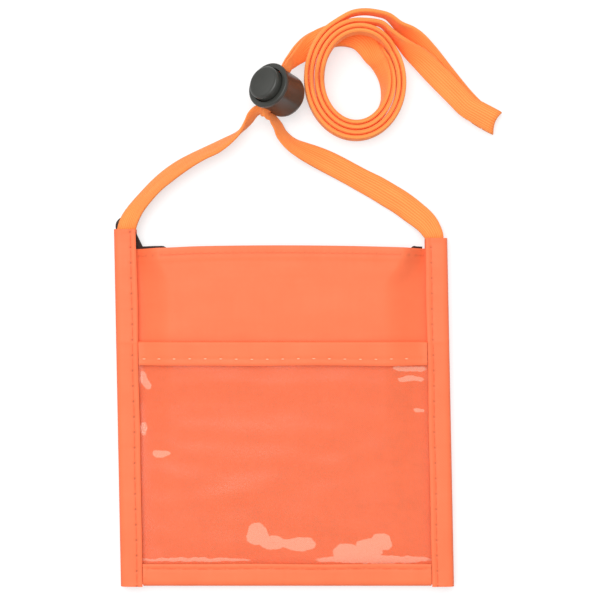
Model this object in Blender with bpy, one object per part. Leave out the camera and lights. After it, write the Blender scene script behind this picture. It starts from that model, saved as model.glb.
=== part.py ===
"""Neck wallet: a flat cloth pouch with a clear window, a zipped mouth, a neck cord and a cord lock."""
import math

import bmesh
import bpy
from mathutils import Matrix, Vector

MM = 0.001

# Wallet body
BODY_WIDTH = 126.9 * MM
BODY_HEIGHT = 135.8 * MM
LEAN_SHARE = -0.0196
CLOTH = 0.7 * MM
VINYL = 0.4 * MM
GAP = 0.3 * MM
SIDE_BINDING_WIDTH = 8.4 * MM
BINDING_TAPE = 0.6 * MM
BINDING_STEPS = 8
RIGHT_BINDING_DROP = 3.4 * MM
PANEL_SETBACK = 2.4 * MM

# Panels and window
PANEL_TOP_DROP = 7.5 * MM
PANEL_TOP_BOW = 1.0 * MM
BACK_TOP_DROP = 7.8 * MM
WINDOW_DROP = 42.6 * MM
WINDOW_BINDING_WIDTH = 9.0 * MM
WINDOW_TAPE = 0.5 * MM
BOTTOM_BINDING_WIDTH = 8.5 * MM
CROWN_BLEND = 9.0 * MM
CROWN_POWER = 1.5
SIDE_COLUMNS = 12
MIDDLE_COLUMNS = 6
PANEL_ROWS = 18
VINYL_SETTLE = 6.0 * MM

# Zip
ZIP_END_ROOM = 1.25 * MM
ZIP_TAPE = 0.5 * MM
ZIP_TAPE_LEG = 8.0 * MM
ZIP_TAPE_END = 8.0 * MM
ZIP_SETBACK = 4.6 * MM
ZIP_FLARE = 4.3 * MM
FLARE_START = 5.4 * MM
FLARE_RUN = 2.6 * MM
TOOTH_PITCH = 1.5 * MM
TOOTH_WIDTH = 0.62 * MM
TOOTH_HEIGHT = 1.5 * MM
TOOTH_REACH = 0.9 * MM
SPINE_EDGE = 1.2 * MM
SPINE = 0.6 * MM
STOP_LENGTH = 1.8 * MM
STOP_WALL = 0.5 * MM
SLIDER_LENGTH = 9.0 * MM
SLIDER_WIDTH = 6.4 * MM
SLIDER_CLEAR = 0.5 * MM
SLIDER_PLATE = 0.8 * MM
SLIDER_SLOT = 1.1 * MM
SLIDER_CHANNEL = 2.1 * MM
SLIDER_SIDE = 0.9 * MM
DIAMOND_LENGTH = 2.6 * MM
DIAMOND_WIDTH = 2.4 * MM
DIAMOND_INSET = 0.6 * MM
BAIL_SPAN = 5.2 * MM
BAIL_INNER = 1.5 * MM
BAIL_WIRE = 0.7 * MM
BAIL_WIDTH = 1.6 * MM
PULL_LENGTH = 11.0 * MM
PULL_WIDTH = 5.2 * MM
PULL_THICKNESS = 1.0 * MM
PULL_BAR = 0.9 * MM
PULL_CORNER_SHARE = 0.6
PULL_GRIP_HOLE = 2.2 * MM
PULL_GRIP_LENGTH = 3.6 * MM
TAIL_PROUD = 4.9 * MM
TAIL_WIDTH = 7.4 * MM
TAIL_THICKNESS = 0.7 * MM
TAIL_LENGTH = 10.8 * MM
TAIL_TURN = math.radians(116)
TAIL_INSET = 5.0 * MM
TAIL_STEPS = 12

# Cord lock
LOCK_PLACE = (2.2 * MM, 115.1 * MM)
LOCK_AZIMUTH = math.radians(155)
LOCK_TILT = math.radians(39)
BARREL_RADIUS = 8.75 * MM
BARREL_LENGTH = 14.5 * MM
BARREL_BORE = 6.7 * MM
BARREL_FLOOR = 1.2 * MM
BARREL_ROUND = 3.0 * MM
FLANGE_HEIGHT = 1.6 * MM
FLANGE_LIP = 0.45 * MM
TURNED_SIDES = 40
ROUND_STEPS = 4
SLOT_ROUND_SHARE = 0.49
PLUNGER_PLAY = 0.3 * MM
PLUNGER_PROUD = 3.0 * MM
PLUNGER_TRAVEL = 2.0 * MM
PLUNGER_TOP_WALL = 1.0 * MM
PLUNGER_FOOT = 1.3 * MM
BUTTON_RADIUS = 6.9 * MM
BUTTON_ROUND = 1.1 * MM
BUTTON_DISH = 0.35 * MM
DISH_MIDDLE_SHARE = 1.6
DISH_RIM_SHARE = 2.0
SPRING_RADIUS = 3.6 * MM
SPRING_WIRE = 0.6 * MM
SPRING_TURNS = 2.5
SPRING_POINTS = 12

# Cord
CORD_WIDTH = 8.7 * MM
CORD_THICKNESS = 1.75 * MM
CORD_PITCH = 2.45 * MM
PINCH_SHARE = 0.53
CORD_STEP = 4.2 * MM
CURVE_STEPS = 12
CORD_STRAIGHT = 1.4 * MM
CORD_REST = 0.25 * MM

# Places worked out from the sizes above
BASE_Y = -(BODY_HEIGHT + TAIL_PROUD) / 2
TOP_Y = BASE_Y + BODY_HEIGHT
MIDDLE_Y = BASE_Y + BODY_HEIGHT / 2
HALF_WIDTH = BODY_WIDTH / 2
INNER_HALF = HALF_WIDTH - SIDE_BINDING_WIDTH
BACK_LOW = BINDING_TAPE + GAP
BACK_HIGH = BACK_LOW + CLOTH
TAIL_LOW = BACK_HIGH + GAP
FRONT_EDGE = TAIL_LOW + TAIL_THICKNESS + GAP
MOUTH_HEIGHT = 2 * (GAP + ZIP_TAPE + SLIDER_CLEAR) + SLIDER_WIDTH
CROWN = BACK_HIGH + MOUTH_HEIGHT - FRONT_EDGE
CHAIN_Z = BACK_HIGH + MOUTH_HEIGHT / 2
WINDOW_LIFT = WINDOW_TAPE + GAP
SIDE_INNER = max(FRONT_EDGE + CLOTH + GAP + WINDOW_LIFT + VINYL, FRONT_EDGE + CORD_THICKNESS) + GAP
SIDE_TOP = SIDE_INNER + BINDING_TAPE
PANEL_TOP = TOP_Y - PANEL_TOP_DROP
WINDOW_TOP = TOP_Y - WINDOW_DROP
CHAIN_Y = PANEL_TOP + PANEL_TOP_BOW - ZIP_SETBACK
SLIDER_LEAD = DIAMOND_LENGTH + 2 * DIAMOND_INSET
TEETH_LENGTH = 2 * (INNER_HALF - CROWN_BLEND - ZIP_END_ROOM - SLIDER_LEAD)
PLUNGER_HOLE = CORD_WIDTH * PINCH_SHARE + 2 * GAP + PLUNGER_TRAVEL
STEM_DEPTH = PLUNGER_TOP_WALL + PLUNGER_HOLE + PLUNGER_FOOT
HOLE_Z = BARREL_LENGTH - PLUNGER_TOP_WALL - PLUNGER_TRAVEL - GAP - CORD_WIDTH * PINCH_SHARE / 2
HOLE_WIDTH = (CORD_PITCH + CORD_THICKNESS) * PINCH_SHARE + 2 * GAP


def clear_scene():
    for item in list(bpy.data.objects):
        bpy.data.objects.remove(item, do_unlink=True)


def finish(name, colour, roughness, metallic=0.0, alpha=1.0):
    shade = bpy.data.materials.new(name)
    shade.use_nodes = True
    surface = shade.node_tree.nodes["Principled BSDF"]
    surface.inputs["Base Color"].default_value = (*colour, 1.0)
    surface.inputs["Roughness"].default_value = roughness
    surface.inputs["Metallic"].default_value = metallic
    surface.inputs["Alpha"].default_value = alpha
    return shade


def put(name, form, shade, place=None, smooth=True):
    bmesh.ops.recalc_face_normals(form, faces=form.faces)
    mesh = bpy.data.meshes.new(name)
    form.to_mesh(mesh)
    form.free()
    if smooth:
        mesh.shade_smooth()
        mesh.set_sharp_from_angle(angle=math.radians(35))
    item = bpy.data.objects.new(name, mesh)
    if place is not None:
        item.matrix_world = place
    if shade is not None:
        item.data.materials.append(shade)
    bpy.context.scene.collection.objects.link(item)
    return item


def helper(item):
    item.hide_render = True
    item.display_type = "WIRE"
    return item


def combine(item, other, operation):
    step = item.modifiers.new(other.name, "BOOLEAN")
    step.operation = operation
    step.object = helper(other)
    step.solver = "EXACT"


def loft(rings, closed_ends=True):
    """Skin a row of rings that have the same number of points."""
    form = bmesh.new()
    rows = [[form.verts.new(point) for point in ring] for ring in rings]
    for low, high in zip(rows, rows[1:]):
        for i in range(len(low)):
            j = (i + 1) % len(low)
            form.faces.new((low[i], low[j], high[j], high[i]))
    if closed_ends:
        form.faces.new(reversed(rows[0]))
        form.faces.new(rows[-1])
    return form


def prism(outline, low, high, plane="XY"):
    """Extrude an outline between two heights, standing on the named plane."""
    turn = {
        "XY": lambda a, b, h: Vector((a, b, h)),
        "XZ": lambda a, b, h: Vector((a, h, b)),
        "YZ": lambda a, b, h: Vector((h, a, b)),
    }[plane]
    return loft([[turn(a, b, h) for a, b in outline] for h in (low, high)])


def box_outline(x0, x1, y0, y1):
    return [(x0, y0), (x1, y0), (x1, y1), (x0, y1)]


def rounded_outline(x0, x1, y0, y1, radius):
    """A rectangle with round corners."""
    points = []
    corners = ((x1 - radius, y1 - radius, 0), (x0 + radius, y1 - radius, 1),
               (x0 + radius, y0 + radius, 2), (x1 - radius, y0 + radius, 3))
    for cx, cy, quarter in corners:
        for k in range(ROUND_STEPS + 1):
            angle = math.pi / 2 * (quarter + k / ROUND_STEPS)
            points.append((cx + radius * math.cos(angle), cy + radius * math.sin(angle)))
    return points


def turned(profile):
    """Turn a profile of radius and height round Z, flat at both ends."""
    rings = []
    for radius, height in profile:
        rings.append([Vector((radius * math.cos(math.tau * k / TURNED_SIDES),
                              radius * math.sin(math.tau * k / TURNED_SIDES), height))
                      for k in range(TURNED_SIDES)])
    return loft(rings)


def smoothstep(value):
    value = min(max(value, 0.0), 1.0)
    return value * value * (3 - 2 * value)


def leaned(x, y):
    return x + LEAN_SHARE * (y - MIDDLE_Y)


def panel_top(x):
    """The hemmed top edge bows up towards the middle."""
    return PANEL_TOP + PANEL_TOP_BOW * (1 - (x / INNER_HALF) ** 2)


def crown(x, y):
    """Rise of the front over its edges: most at the mouth, none at the bottom."""
    along = min(max((y - BASE_Y) / (PANEL_TOP - BASE_Y), 0.0), 1.0)
    return CROWN * smoothstep((INNER_HALF - abs(x)) / CROWN_BLEND) * along ** CROWN_POWER


def front_low(x, y):
    return FRONT_EDGE + crown(x, y)


def column_places():
    """Columns across the front: close where the crown bends, few where it is level."""
    limit, level = HALF_WIDTH - PANEL_SETBACK, INNER_HALF - CROWN_BLEND
    side = [limit + (level - limit) * k / SIDE_COLUMNS for k in range(SIDE_COLUMNS)]
    middle = [level - 2 * level * k / MIDDLE_COLUMNS for k in range(MIDDLE_COLUMNS + 1)]
    return [-x for x in side] + [-x for x in middle] + list(reversed(side))


def columns_within(limit):
    return [-limit] + [x for x in column_places() if abs(x) < limit - GAP] + [limit]


def draped(bottom, top_of, low_of, thickness, rows):
    """A sheet between two edges that follows the crown."""
    rings = []
    columns = column_places()
    for k in range(rows + 1):
        share = k / rows
        ring = []
        for x in columns:
            y = bottom + (top_of(x) - bottom) * share
            ring.append(Vector((leaned(x, y), y, low_of(x, y))))
        top = [point + Vector((0, 0, thickness)) for point in reversed(ring)]
        rings.append(ring + top)
    return loft(rings)


def make_back_panel(shade):
    limit = HALF_WIDTH - PANEL_SETBACK
    low, high = BASE_Y + PANEL_SETBACK, TOP_Y - BACK_TOP_DROP
    outline = [(leaned(-limit, low), low), (leaned(limit, low), low),
               (leaned(limit, high), high), (leaned(-limit, high), high)]
    return put("back_panel", prism(outline, BACK_LOW, BACK_HIGH), shade)


def make_front_panel(shade):
    form = draped(BASE_Y + PANEL_SETBACK, panel_top, front_low, CLOTH, PANEL_ROWS)
    return put("front_panel", form, shade)


def window_low(x, y):
    """The vinyl lies on the front and lifts into the fold of its top binding."""
    below = (WINDOW_TOP - WINDOW_BINDING_WIDTH - VINYL_SETTLE - y) / WINDOW_BINDING_WIDTH
    return front_low(x, y) + CLOTH + GAP + WINDOW_LIFT * (1 - smoothstep(below))


def make_window(shade):
    top = WINDOW_TOP - WINDOW_TAPE - GAP
    form = draped(BASE_Y + PANEL_SETBACK, lambda x: top, window_low, VINYL, PANEL_ROWS)
    return put("window_sheet", form, shade)


def make_window_binding(shade):
    tape = WINDOW_TAPE
    height = 2 * (tape + GAP) + VINYL
    inner, outer = WINDOW_TOP - WINDOW_BINDING_WIDTH, WINDOW_TOP
    limit = INNER_HALF - GAP
    rings = []
    for x in columns_within(limit):
        low_in, low_out = (front_low(x, y) + CLOTH + GAP for y in (inner, outer))
        ring = [(inner, low_in), (outer - tape, low_out), (outer, low_out + tape),
                (outer, low_out + height - tape), (outer - tape, low_out + height),
                (inner, low_in + height), (inner, low_in + height - tape),
                (outer - tape, low_out + height - tape), (outer - tape, low_out + tape),
                (inner, low_in + tape)]
        rings.append([Vector((leaned(x, y), y, z)) for y, z in ring])
    return put("window_top_binding", loft(rings), shade)


def fold_outline(width):
    """Section of a tape folded round an edge, from its fold inwards."""
    outer, inner = SIDE_TOP / 2, SIDE_TOP / 2 - BINDING_TAPE
    points = [(width, 0.0)]
    for radius, turn in ((outer, 1), (inner, -1)):
        for k in range(BINDING_STEPS + 1):
            angle = -math.pi / 2 + math.pi * (k if turn > 0 else BINDING_STEPS - k) / BINDING_STEPS
            points.append((outer - radius * math.cos(angle), outer + radius * math.sin(angle)))
        if turn > 0:
            points += [(width, SIDE_TOP), (width, SIDE_TOP - BINDING_TAPE)]
    points.append((width, BINDING_TAPE))
    return points


def make_side_binding(name, side, drop, shade):
    rings = []
    for y in (BASE_Y, TOP_Y - drop):
        rings.append([Vector((leaned(side * (HALF_WIDTH - d), y), y, z))
                      for d, z in fold_outline(SIDE_BINDING_WIDTH)])
    return put(name, loft(rings), shade)


def make_bottom_binding(shade):
    rings = []
    for x in (-INNER_HALF + GAP, INNER_HALF - GAP):
        rings.append([Vector((leaned(x, BASE_Y + d), BASE_Y + d, z))
                      for d, z in fold_outline(BOTTOM_BINDING_WIDTH)])
    return put("bottom_binding", loft(rings), shade)


def chain_y(x):
    """The zip runs straight inside the mouth and comes out to the edge at its ends."""
    return CHAIN_Y + ZIP_FLARE * smoothstep((abs(x) - TEETH_LENGTH / 2 - FLARE_START) / FLARE_RUN)


def make_zip_tape(name, side, shade):
    """A tape sewn flat on its panel, turned up at the mouth to carry the teeth."""
    rings = []
    for x in columns_within(TEETH_LENGTH / 2 + ZIP_TAPE_END):
        y = chain_y(x)
        inner = CHAIN_Y - ZIP_TAPE_LEG
        roof = front_low(x, y) - GAP
        floor = BACK_HIGH + GAP
        middle = (roof + floor) / 2
        reach = min(SPINE_EDGE + SPINE + GAP, (roof - floor) / 2 - ZIP_TAPE - GAP)
        if side > 0:
            seat_in, seat, edge = front_low(x, inner) - GAP, roof, middle + reach
        else:
            seat_in, seat, edge = floor, floor, middle - reach
        step = -side * ZIP_TAPE
        ring = [(inner, seat_in), (y + ZIP_TAPE / 2, seat), (y + ZIP_TAPE / 2, edge),
                (y - ZIP_TAPE / 2, edge), (y - ZIP_TAPE / 2, seat + step), (inner, seat_in + step)]
        rings.append([Vector((x + LEAN_SHARE * (CHAIN_Y - MIDDLE_Y), b, c)) for b, c in ring])
    return put(name, loft(rings), shade)


def make_teeth(name, side, shade):
    """A comb: one spine along the tape and teeth that reach between those opposite."""
    half = TEETH_LENGTH / 2
    count = int(TEETH_LENGTH / TOOTH_PITCH)
    start = -half + (TOOTH_PITCH / 2 if side < 0 else 0.0)
    outline = [(half, SPINE_EDGE), (half, SPINE_EDGE + SPINE), (-half, SPINE_EDGE + SPINE), (-half, SPINE_EDGE)]
    for k in range(count):
        left = start + k * TOOTH_PITCH + (TOOTH_PITCH / 2 - TOOTH_WIDTH) / 2
        outline += [(left, SPINE_EDGE), (left, -TOOTH_REACH),
                    (left + TOOTH_WIDTH, -TOOTH_REACH), (left + TOOTH_WIDTH, SPINE_EDGE)]
    shift = LEAN_SHARE * (CHAIN_Y - MIDDLE_Y)
    outline = [(a + shift, CHAIN_Z + side * b) for a, b in outline]
    low, high = CHAIN_Y - TOOTH_HEIGHT / 2, CHAIN_Y + TOOTH_HEIGHT / 2
    return put(name, prism(outline, low, high, "XZ"), shade, smooth=False)


def make_top_stop(name, side, shade):
    """A clip pressed round the tape's edge past the last tooth."""
    half = TEETH_LENGTH / 2
    edge = SPINE_EDGE + SPINE + GAP
    x1 = -half - SLIDER_LEAD - GAP
    x0 = x1 - STOP_LENGTH / 2
    wall, slot = STOP_WALL, ZIP_TAPE / 2 + GAP
    outline = [(-slot - wall, edge - GAP - wall), (slot + wall, edge - GAP - wall), (slot + wall, edge + wall),
               (slot, edge + wall), (slot, edge - GAP), (-slot, edge - GAP), (-slot, edge + wall),
               (-slot - wall, edge + wall)]
    shift = LEAN_SHARE * (CHAIN_Y - MIDDLE_Y)
    outline = [(CHAIN_Y + a, CHAIN_Z + side * b) for a, b in outline]
    return put(name, prism(outline, x0 + shift, x1 + shift, "YZ"), shade, smooth=False)


def make_bottom_stop(shade):
    """One clip across both tapes at the far end of the chain."""
    edge = SPINE_EDGE + SPINE + GAP
    wall, slot = STOP_WALL, ZIP_TAPE / 2 + GAP
    quarter = [(slot + wall, edge + wall), (slot, edge + wall), (slot, edge - GAP)]
    outline = quarter + [(-a, b) for a, b in reversed(quarter)]
    outline += [(-a, -b) for a, b in quarter] + [(a, -b) for a, b in reversed(quarter)]
    shift = LEAN_SHARE * (CHAIN_Y - MIDDLE_Y)
    x0 = TEETH_LENGTH / 2 + GAP + shift
    outline = [(CHAIN_Y + a, CHAIN_Z + b) for a, b in outline]
    return put("zip_bottom_stop", prism(outline, x0, x0 + STOP_LENGTH, "YZ"), shade, smooth=False)


def slider_left():
    return -TEETH_LENGTH / 2 - SLIDER_LEAD + LEAN_SHARE * (CHAIN_Y - MIDDLE_Y)


def make_slider(shade):
    """Two plates with turned sides, joined by the wedge that parts the teeth."""
    left = slider_left()
    right = left + SLIDER_LENGTH
    half = SLIDER_WIDTH / 2
    inner = SLIDER_CHANNEL / 2
    outer = inner + SLIDER_PLATE
    waist = half - SLIDER_PLATE / 2
    shape = [(left, CHAIN_Z - half + SLIDER_PLATE), (left + SLIDER_PLATE, CHAIN_Z - half),
             (left + SLIDER_LENGTH / 2, CHAIN_Z - half), (right, CHAIN_Z - waist),
             (right, CHAIN_Z + waist), (left + SLIDER_LENGTH / 2, CHAIN_Z + half),
             (left + SLIDER_PLATE, CHAIN_Z + half), (left, CHAIN_Z + half - SLIDER_PLATE)]
    slider = put("zip_slider", prism(shape, CHAIN_Y - outer, CHAIN_Y + outer, "XZ"), shade, smooth=False)
    over = SLIDER_PLATE
    channel = box_outline(CHAIN_Y - inner, CHAIN_Y + inner, CHAIN_Z - waist + SLIDER_SIDE / 2,
                          CHAIN_Z + waist - SLIDER_SIDE / 2)
    slot = box_outline(CHAIN_Y - SLIDER_SLOT / 2, CHAIN_Y + SLIDER_SLOT / 2, CHAIN_Z - half - over,
                       CHAIN_Z + half + over)
    for name, outline in (("slider_channel_cutter", channel), ("slider_slot_cutter", slot)):
        combine(slider, put(name, prism(outline, left - over, right + over, "YZ"), None), "DIFFERENCE")
    tip, end = left + DIAMOND_INSET, left + DIAMOND_INSET + DIAMOND_LENGTH
    wedge = [(tip, CHAIN_Z - DIAMOND_WIDTH / 2), (tip + DIAMOND_LENGTH / 3, CHAIN_Z - DIAMOND_WIDTH / 2),
             (end, CHAIN_Z), (tip + DIAMOND_LENGTH / 3, CHAIN_Z + DIAMOND_WIDTH / 2),
             (tip, CHAIN_Z + DIAMOND_WIDTH / 2)]
    depth = inner + SLIDER_PLATE / 2
    combine(slider, put("slider_wedge_form", prism(wedge, CHAIN_Y - depth, CHAIN_Y + depth, "XZ"), None), "UNION")
    combine(slider, make_bail((left + right) / 2, CHAIN_Y + outer), "UNION")
    return slider


def make_bail(x, y):
    """The arch over the slider that the pull tab hangs on."""
    half, top = BAIL_SPAN / 2, BAIL_INNER + BAIL_WIRE
    foot = -SLIDER_PLATE / 2
    arch = [(-half, foot), (-half, top - BAIL_WIRE), (-half + BAIL_WIRE, top), (half - BAIL_WIRE, top),
            (half, top - BAIL_WIRE), (half, foot), (half - BAIL_WIRE, foot), (half - BAIL_WIRE, BAIL_INNER),
            (BAIL_WIRE - half, BAIL_INNER), (BAIL_WIRE - half, foot)]
    outline = [(x + a, y + b) for a, b in arch]
    return put("slider_bail_form", prism(outline, CHAIN_Z - BAIL_WIDTH / 2, CHAIN_Z + BAIL_WIDTH / 2), None)


def pull_pivot():
    x = slider_left() + SLIDER_LENGTH / 2
    return Vector((x, CHAIN_Y + SLIDER_CHANNEL / 2 + SLIDER_PLATE + BAIL_INNER / 2, CHAIN_Z))


def make_pull_tab(shade):
    """A tab with an eye, whose bar turns under the bail."""
    pivot = pull_pivot()
    half, bar = PULL_WIDTH / 2, PULL_BAR / 2
    outline = rounded_outline(-bar, PULL_LENGTH, -half, half, half * PULL_CORNER_SHARE)
    tab = put("zip_pull_tab", prism(outline, -PULL_THICKNESS / 2, PULL_THICKNESS / 2, "XZ"), shade,
              Matrix.Translation(pivot))
    eye = box_outline(bar, BAIL_SPAN / 2 + BAIL_WIRE, -BAIL_WIDTH / 2 - GAP, BAIL_WIDTH / 2 + GAP)
    reach = PULL_THICKNESS
    grip_x = PULL_LENGTH - half
    grip = rounded_outline(grip_x - PULL_GRIP_LENGTH, grip_x, -PULL_GRIP_HOLE / 2, PULL_GRIP_HOLE / 2,
                           PULL_GRIP_HOLE * SLOT_ROUND_SHARE)
    for name, shape in (("pull_eye_cutter", eye), ("pull_grip_cutter", grip)):
        combine(tab, put(name, prism(shape, -reach, reach, "XZ"), None, Matrix.Translation(pivot)), "DIFFERENCE")
    return tab


def make_tail(shade):
    """The zip's tape end, folded and turned up out of the mouth inside the left binding."""
    radius = TAIL_WIDTH / 2
    centre = Vector((leaned(-HALF_WIDTH + TAIL_INSET, TOP_Y), TOP_Y + TAIL_PROUD - radius, 0))
    along = Vector((math.cos(TAIL_TURN), math.sin(TAIL_TURN), 0))
    across = Vector((-along.y, along.x, 0))
    outline = [centre - along * TAIL_LENGTH - across * radius, centre - across * radius]
    for k in range(1, TAIL_STEPS):
        angle = -math.pi / 2 + math.pi * k / TAIL_STEPS
        outline.append(centre + along * radius * math.cos(angle) + across * radius * math.sin(angle))
    outline += [centre + across * radius, centre - along * TAIL_LENGTH + across * radius]
    form = prism([(p.x, p.y) for p in outline], TAIL_LOW, TAIL_LOW + TAIL_THICKNESS)
    return put("zip_tape_tail", form, shade)


def lock_place():
    """The lock lies tipped over, its rounded foot on the surface."""
    sunk = (BARREL_RADIUS - BARREL_ROUND) * math.sin(LOCK_TILT) + BARREL_ROUND * (1 - math.cos(LOCK_TILT))
    turn = Matrix.Rotation(LOCK_AZIMUTH, 4, "Z") @ Matrix.Rotation(LOCK_TILT, 4, "Y")
    return Matrix.Translation((*LOCK_PLACE, sunk)) @ turn


def slot_form(height, width, reach, middle):
    """A cross hole for the cord: tall along the lock's axis, with round ends."""
    outline = rounded_outline(-width / 2, width / 2, middle - height / 2, middle + height / 2,
                              width * SLOT_ROUND_SHARE)
    return prism(outline, -reach, reach, "XZ")


def make_barrel(place, shade):
    outer, bore, top = BARREL_RADIUS, BARREL_BORE, BARREL_LENGTH
    flange = outer - FLANGE_LIP
    profile = []
    for k in range(ROUND_STEPS + 1):
        angle = math.pi / 2 * k / ROUND_STEPS
        profile.append((flange - BARREL_ROUND * (1 - math.sin(angle)), BARREL_ROUND * (1 - math.cos(angle))))
    profile += [(flange, top - FLANGE_HEIGHT - FLANGE_LIP), (outer, top - FLANGE_HEIGHT),
                (outer, top - FLANGE_LIP), (outer - FLANGE_LIP, top), (bore + FLANGE_LIP, top),
                (bore, top - FLANGE_LIP), (bore, BARREL_FLOOR)]
    barrel = put("lock_barrel", turned(profile), shade, place)
    hole = slot_form(CORD_WIDTH * PINCH_SHARE + 2 * GAP, HOLE_WIDTH, BARREL_RADIUS + BARREL_FLOOR, HOLE_Z)
    combine(barrel, put("barrel_hole_cutter", hole, None, place), "DIFFERENCE")
    return barrel


def make_plunger(place, shade):
    """A stem with its own cross hole, held up by the spring, under a dished button."""
    top = BARREL_LENGTH + PLUNGER_PROUD
    stem = BARREL_BORE - PLUNGER_PLAY
    cap = min(BUTTON_RADIUS, stem)
    bottom = BARREL_LENGTH - STEM_DEPTH
    chamfer = BUTTON_DISH
    profile = [(stem - chamfer, bottom), (stem, bottom + chamfer), (stem, BARREL_LENGTH - PLUNGER_TOP_WALL / 2),
               (stem - chamfer, BARREL_LENGTH), (stem - chamfer, BARREL_LENGTH + chamfer)]
    for k in range(ROUND_STEPS + 1):
        angle = math.pi / 2 * k / ROUND_STEPS
        profile.append((cap - BUTTON_ROUND * (1 - math.cos(angle)), top - BUTTON_ROUND * (1 - math.sin(angle))))
    profile += [(cap - BUTTON_ROUND * DISH_RIM_SHARE, top - BUTTON_DISH),
                (cap / 2, top - BUTTON_DISH * DISH_MIDDLE_SHARE)]
    plunger = put("lock_plunger", turned(profile), shade, place)
    middle = BARREL_LENGTH - PLUNGER_TOP_WALL - PLUNGER_HOLE / 2
    hole = slot_form(PLUNGER_HOLE, HOLE_WIDTH, BARREL_RADIUS, middle)
    combine(plunger, put("plunger_hole_cutter", hole, None, place), "DIFFERENCE")
    return plunger


def tube(name, points, shade):
    """A round wire along a row of points, with filled ends."""
    curve = bpy.data.curves.new(name, "CURVE")
    curve.dimensions = "3D"
    curve.bevel_depth = SPRING_WIRE / 2
    curve.bevel_resolution = 1
    curve.use_fill_caps = True
    spline = curve.splines.new("POLY")
    spline.points.add(len(points) - 1)
    for spot, point in zip(spline.points, points):
        spot.co = (*point, 1.0)
    item = bpy.data.objects.new(name, curve)
    curve.materials.append(shade)
    bpy.context.scene.collection.objects.link(item)
    return item


def make_spring(place, shade):
    low = BARREL_FLOOR + SPRING_WIRE / 2 + GAP
    high = BARREL_LENGTH - STEM_DEPTH - SPRING_WIRE / 2 - GAP
    steps = round(SPRING_POINTS * SPRING_TURNS)
    points = []
    for k in range(steps + 1):
        angle = math.tau * SPRING_TURNS * k / steps
        points.append((SPRING_RADIUS * math.cos(angle), SPRING_RADIUS * math.sin(angle),
                       low + (high - low) * k / steps))
    spring = tube("lock_spring", points, shade)
    spring.matrix_world = place
    print(f"lock spring: turns {(high - low) / SPRING_TURNS / MM - SPRING_WIRE / MM:.2f} mm apart")
    return spring


# The cord's route: x, y and the height of its lower face in mm, roll in degrees, share of the full width.
# Roll 0 lies flat, roll 90 stands on edge with its face to the right of the way it runs.
LEFT_ROUTE = [
    (-60.2, 59.0, 2.9, 0, 0.76), (-60.5, 62.5, 2.9, 0, 0.76), (-60.5, 66.0, 2.9, 0, 0.78),
    (-59.8, 69.5, 2.9, 0, 0.85), (-57.6, 73.8, 2.0, 0, 0.96), (-53.6, 78.2, 0.4, 0, 1.0),
    (-45.8, 84.2, 0.2, 0, 1.0), (-35.0, 90.6, 0.2, 0, 1.0), (-25.5, 96.0, 0.2, -6, 1.0),
    (-19.5, 99.6, 0.3, -18, 0.92), (-15.9, 101.8, 1.8, -6, 0.82), (-12.4, 103.4, 4.6, 22, 0.68)]
RIGHT_ROUTE = [
    (57.4, 58.9, 2.9, 0, 0.76), (57.4, 60.8, 2.9, 0, 0.76), (57.4, 63.0, 2.9, 0, 0.8),
    (56.2, 67.2, 2.0, 0, 0.95), (52.4, 73.8, 0.4, 0, 1.0), (44.8, 80.6, 0.2, 0, 1.0),
    (36.0, 85.6, 0.2, 0, 1.0), (25.2, 88.8, 0.2, 0, 1.0), (14.0, 92.2, 0.2, 0, 1.0),
    (6.0, 95.0, 0.2, 8, 1.0), (0.4, 97.2, 0.6, 22, 0.9), (-3.8, 99.8, 3.0, 40, 0.72)]
# The two strands together, from the lock to the coil.
PAIR_ROUTE = [
    (4.8, 134.8, 2.6, 30, 0.85), (8.6, 138.2, 0.4, 8, 0.97), (13.2, 139.0, 0.2, 0, 1.0),
    (17.9, 136.9, 0.2, 0, 1.0), (22.0, 134.0, 0.2, 7, 1.0), (26.0, 132.1, 0.2, 19, 1.0),
    (30.0, 131.2, 0.2, 33, 1.0)]
# The two strands side by side, from the coil to the folded end.
TAIL_ROUTE = [
    (44.2, 139.4, 0.2, 90, 1.0), (50.1, 134.4, 0.2, 76, 1.0), (56.2, 127.8, 0.2, 50, 1.0),
    (62.3, 121.4, 0.2, 22, 1.0), (68.8, 115.3, 0.2, 0, 1.0), (73.6, 110.9, 0.2, 0, 1.0)]
LOCK_RUN_SHARES = (-1.5, -1.15, -0.6, 0.0, 0.6, 1.15, 1.5)

# The coil: two turns on edge, each outside the last, over the cord's own start.
COIL_CENTRE = (28.0, 121.8)
COIL_HALF_WIDTH = 10.1 * MM
COIL_HALF_LENGTH = 14.2 * MM
COIL_STEP_ACROSS = 5.1 * MM
COIL_STEP_ALONG = 5.1 * MM
COIL_TURNS = 1.93
COIL_START = math.radians(42)
COIL_START_ROLL = math.radians(46)
COIL_SETTLE = math.radians(85)
COIL_TUCK = 2.4 * MM
COIL_POINTS = 24
HUMP_PLACE = math.radians(133)
HUMP_RUN = math.radians(72)
HUMP_HEIGHT = 5.5 * MM
HUMP_FLAT_SHARE = 1.7
FOLD_POINTS = 12
FOLD_ROLL = 70
FOLD_LEAD = 2.4 * MM


def half_height(roll, layers):
    """Half the height of a cord, or of two lying face to face, at its roll."""
    stack = CORD_THICKNESS + (layers - 1) * CORD_PITCH
    return (CORD_WIDTH * abs(math.sin(roll)) + stack * math.cos(roll)) / 2


def in_metres(route, layers=1):
    """The route's points at the middle of the cord, or of so many layers of it."""
    points = []
    for x, y, low, roll, width in route:
        roll = math.radians(roll)
        half = half_height(roll, layers) * width
        points.append((x * MM, y * MM, low * MM + half, roll, width))
    return points


def lock_run(place):
    """The cord's straight way through the lock's cross hole, pinched narrow."""
    points = []
    for share in LOCK_RUN_SHARES:
        spot = place @ Vector((0, -share * BARREL_RADIUS, HOLE_Z))
        points.append((*spot, math.pi / 2 - LOCK_TILT, PINCH_SHARE))
    return points


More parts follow.
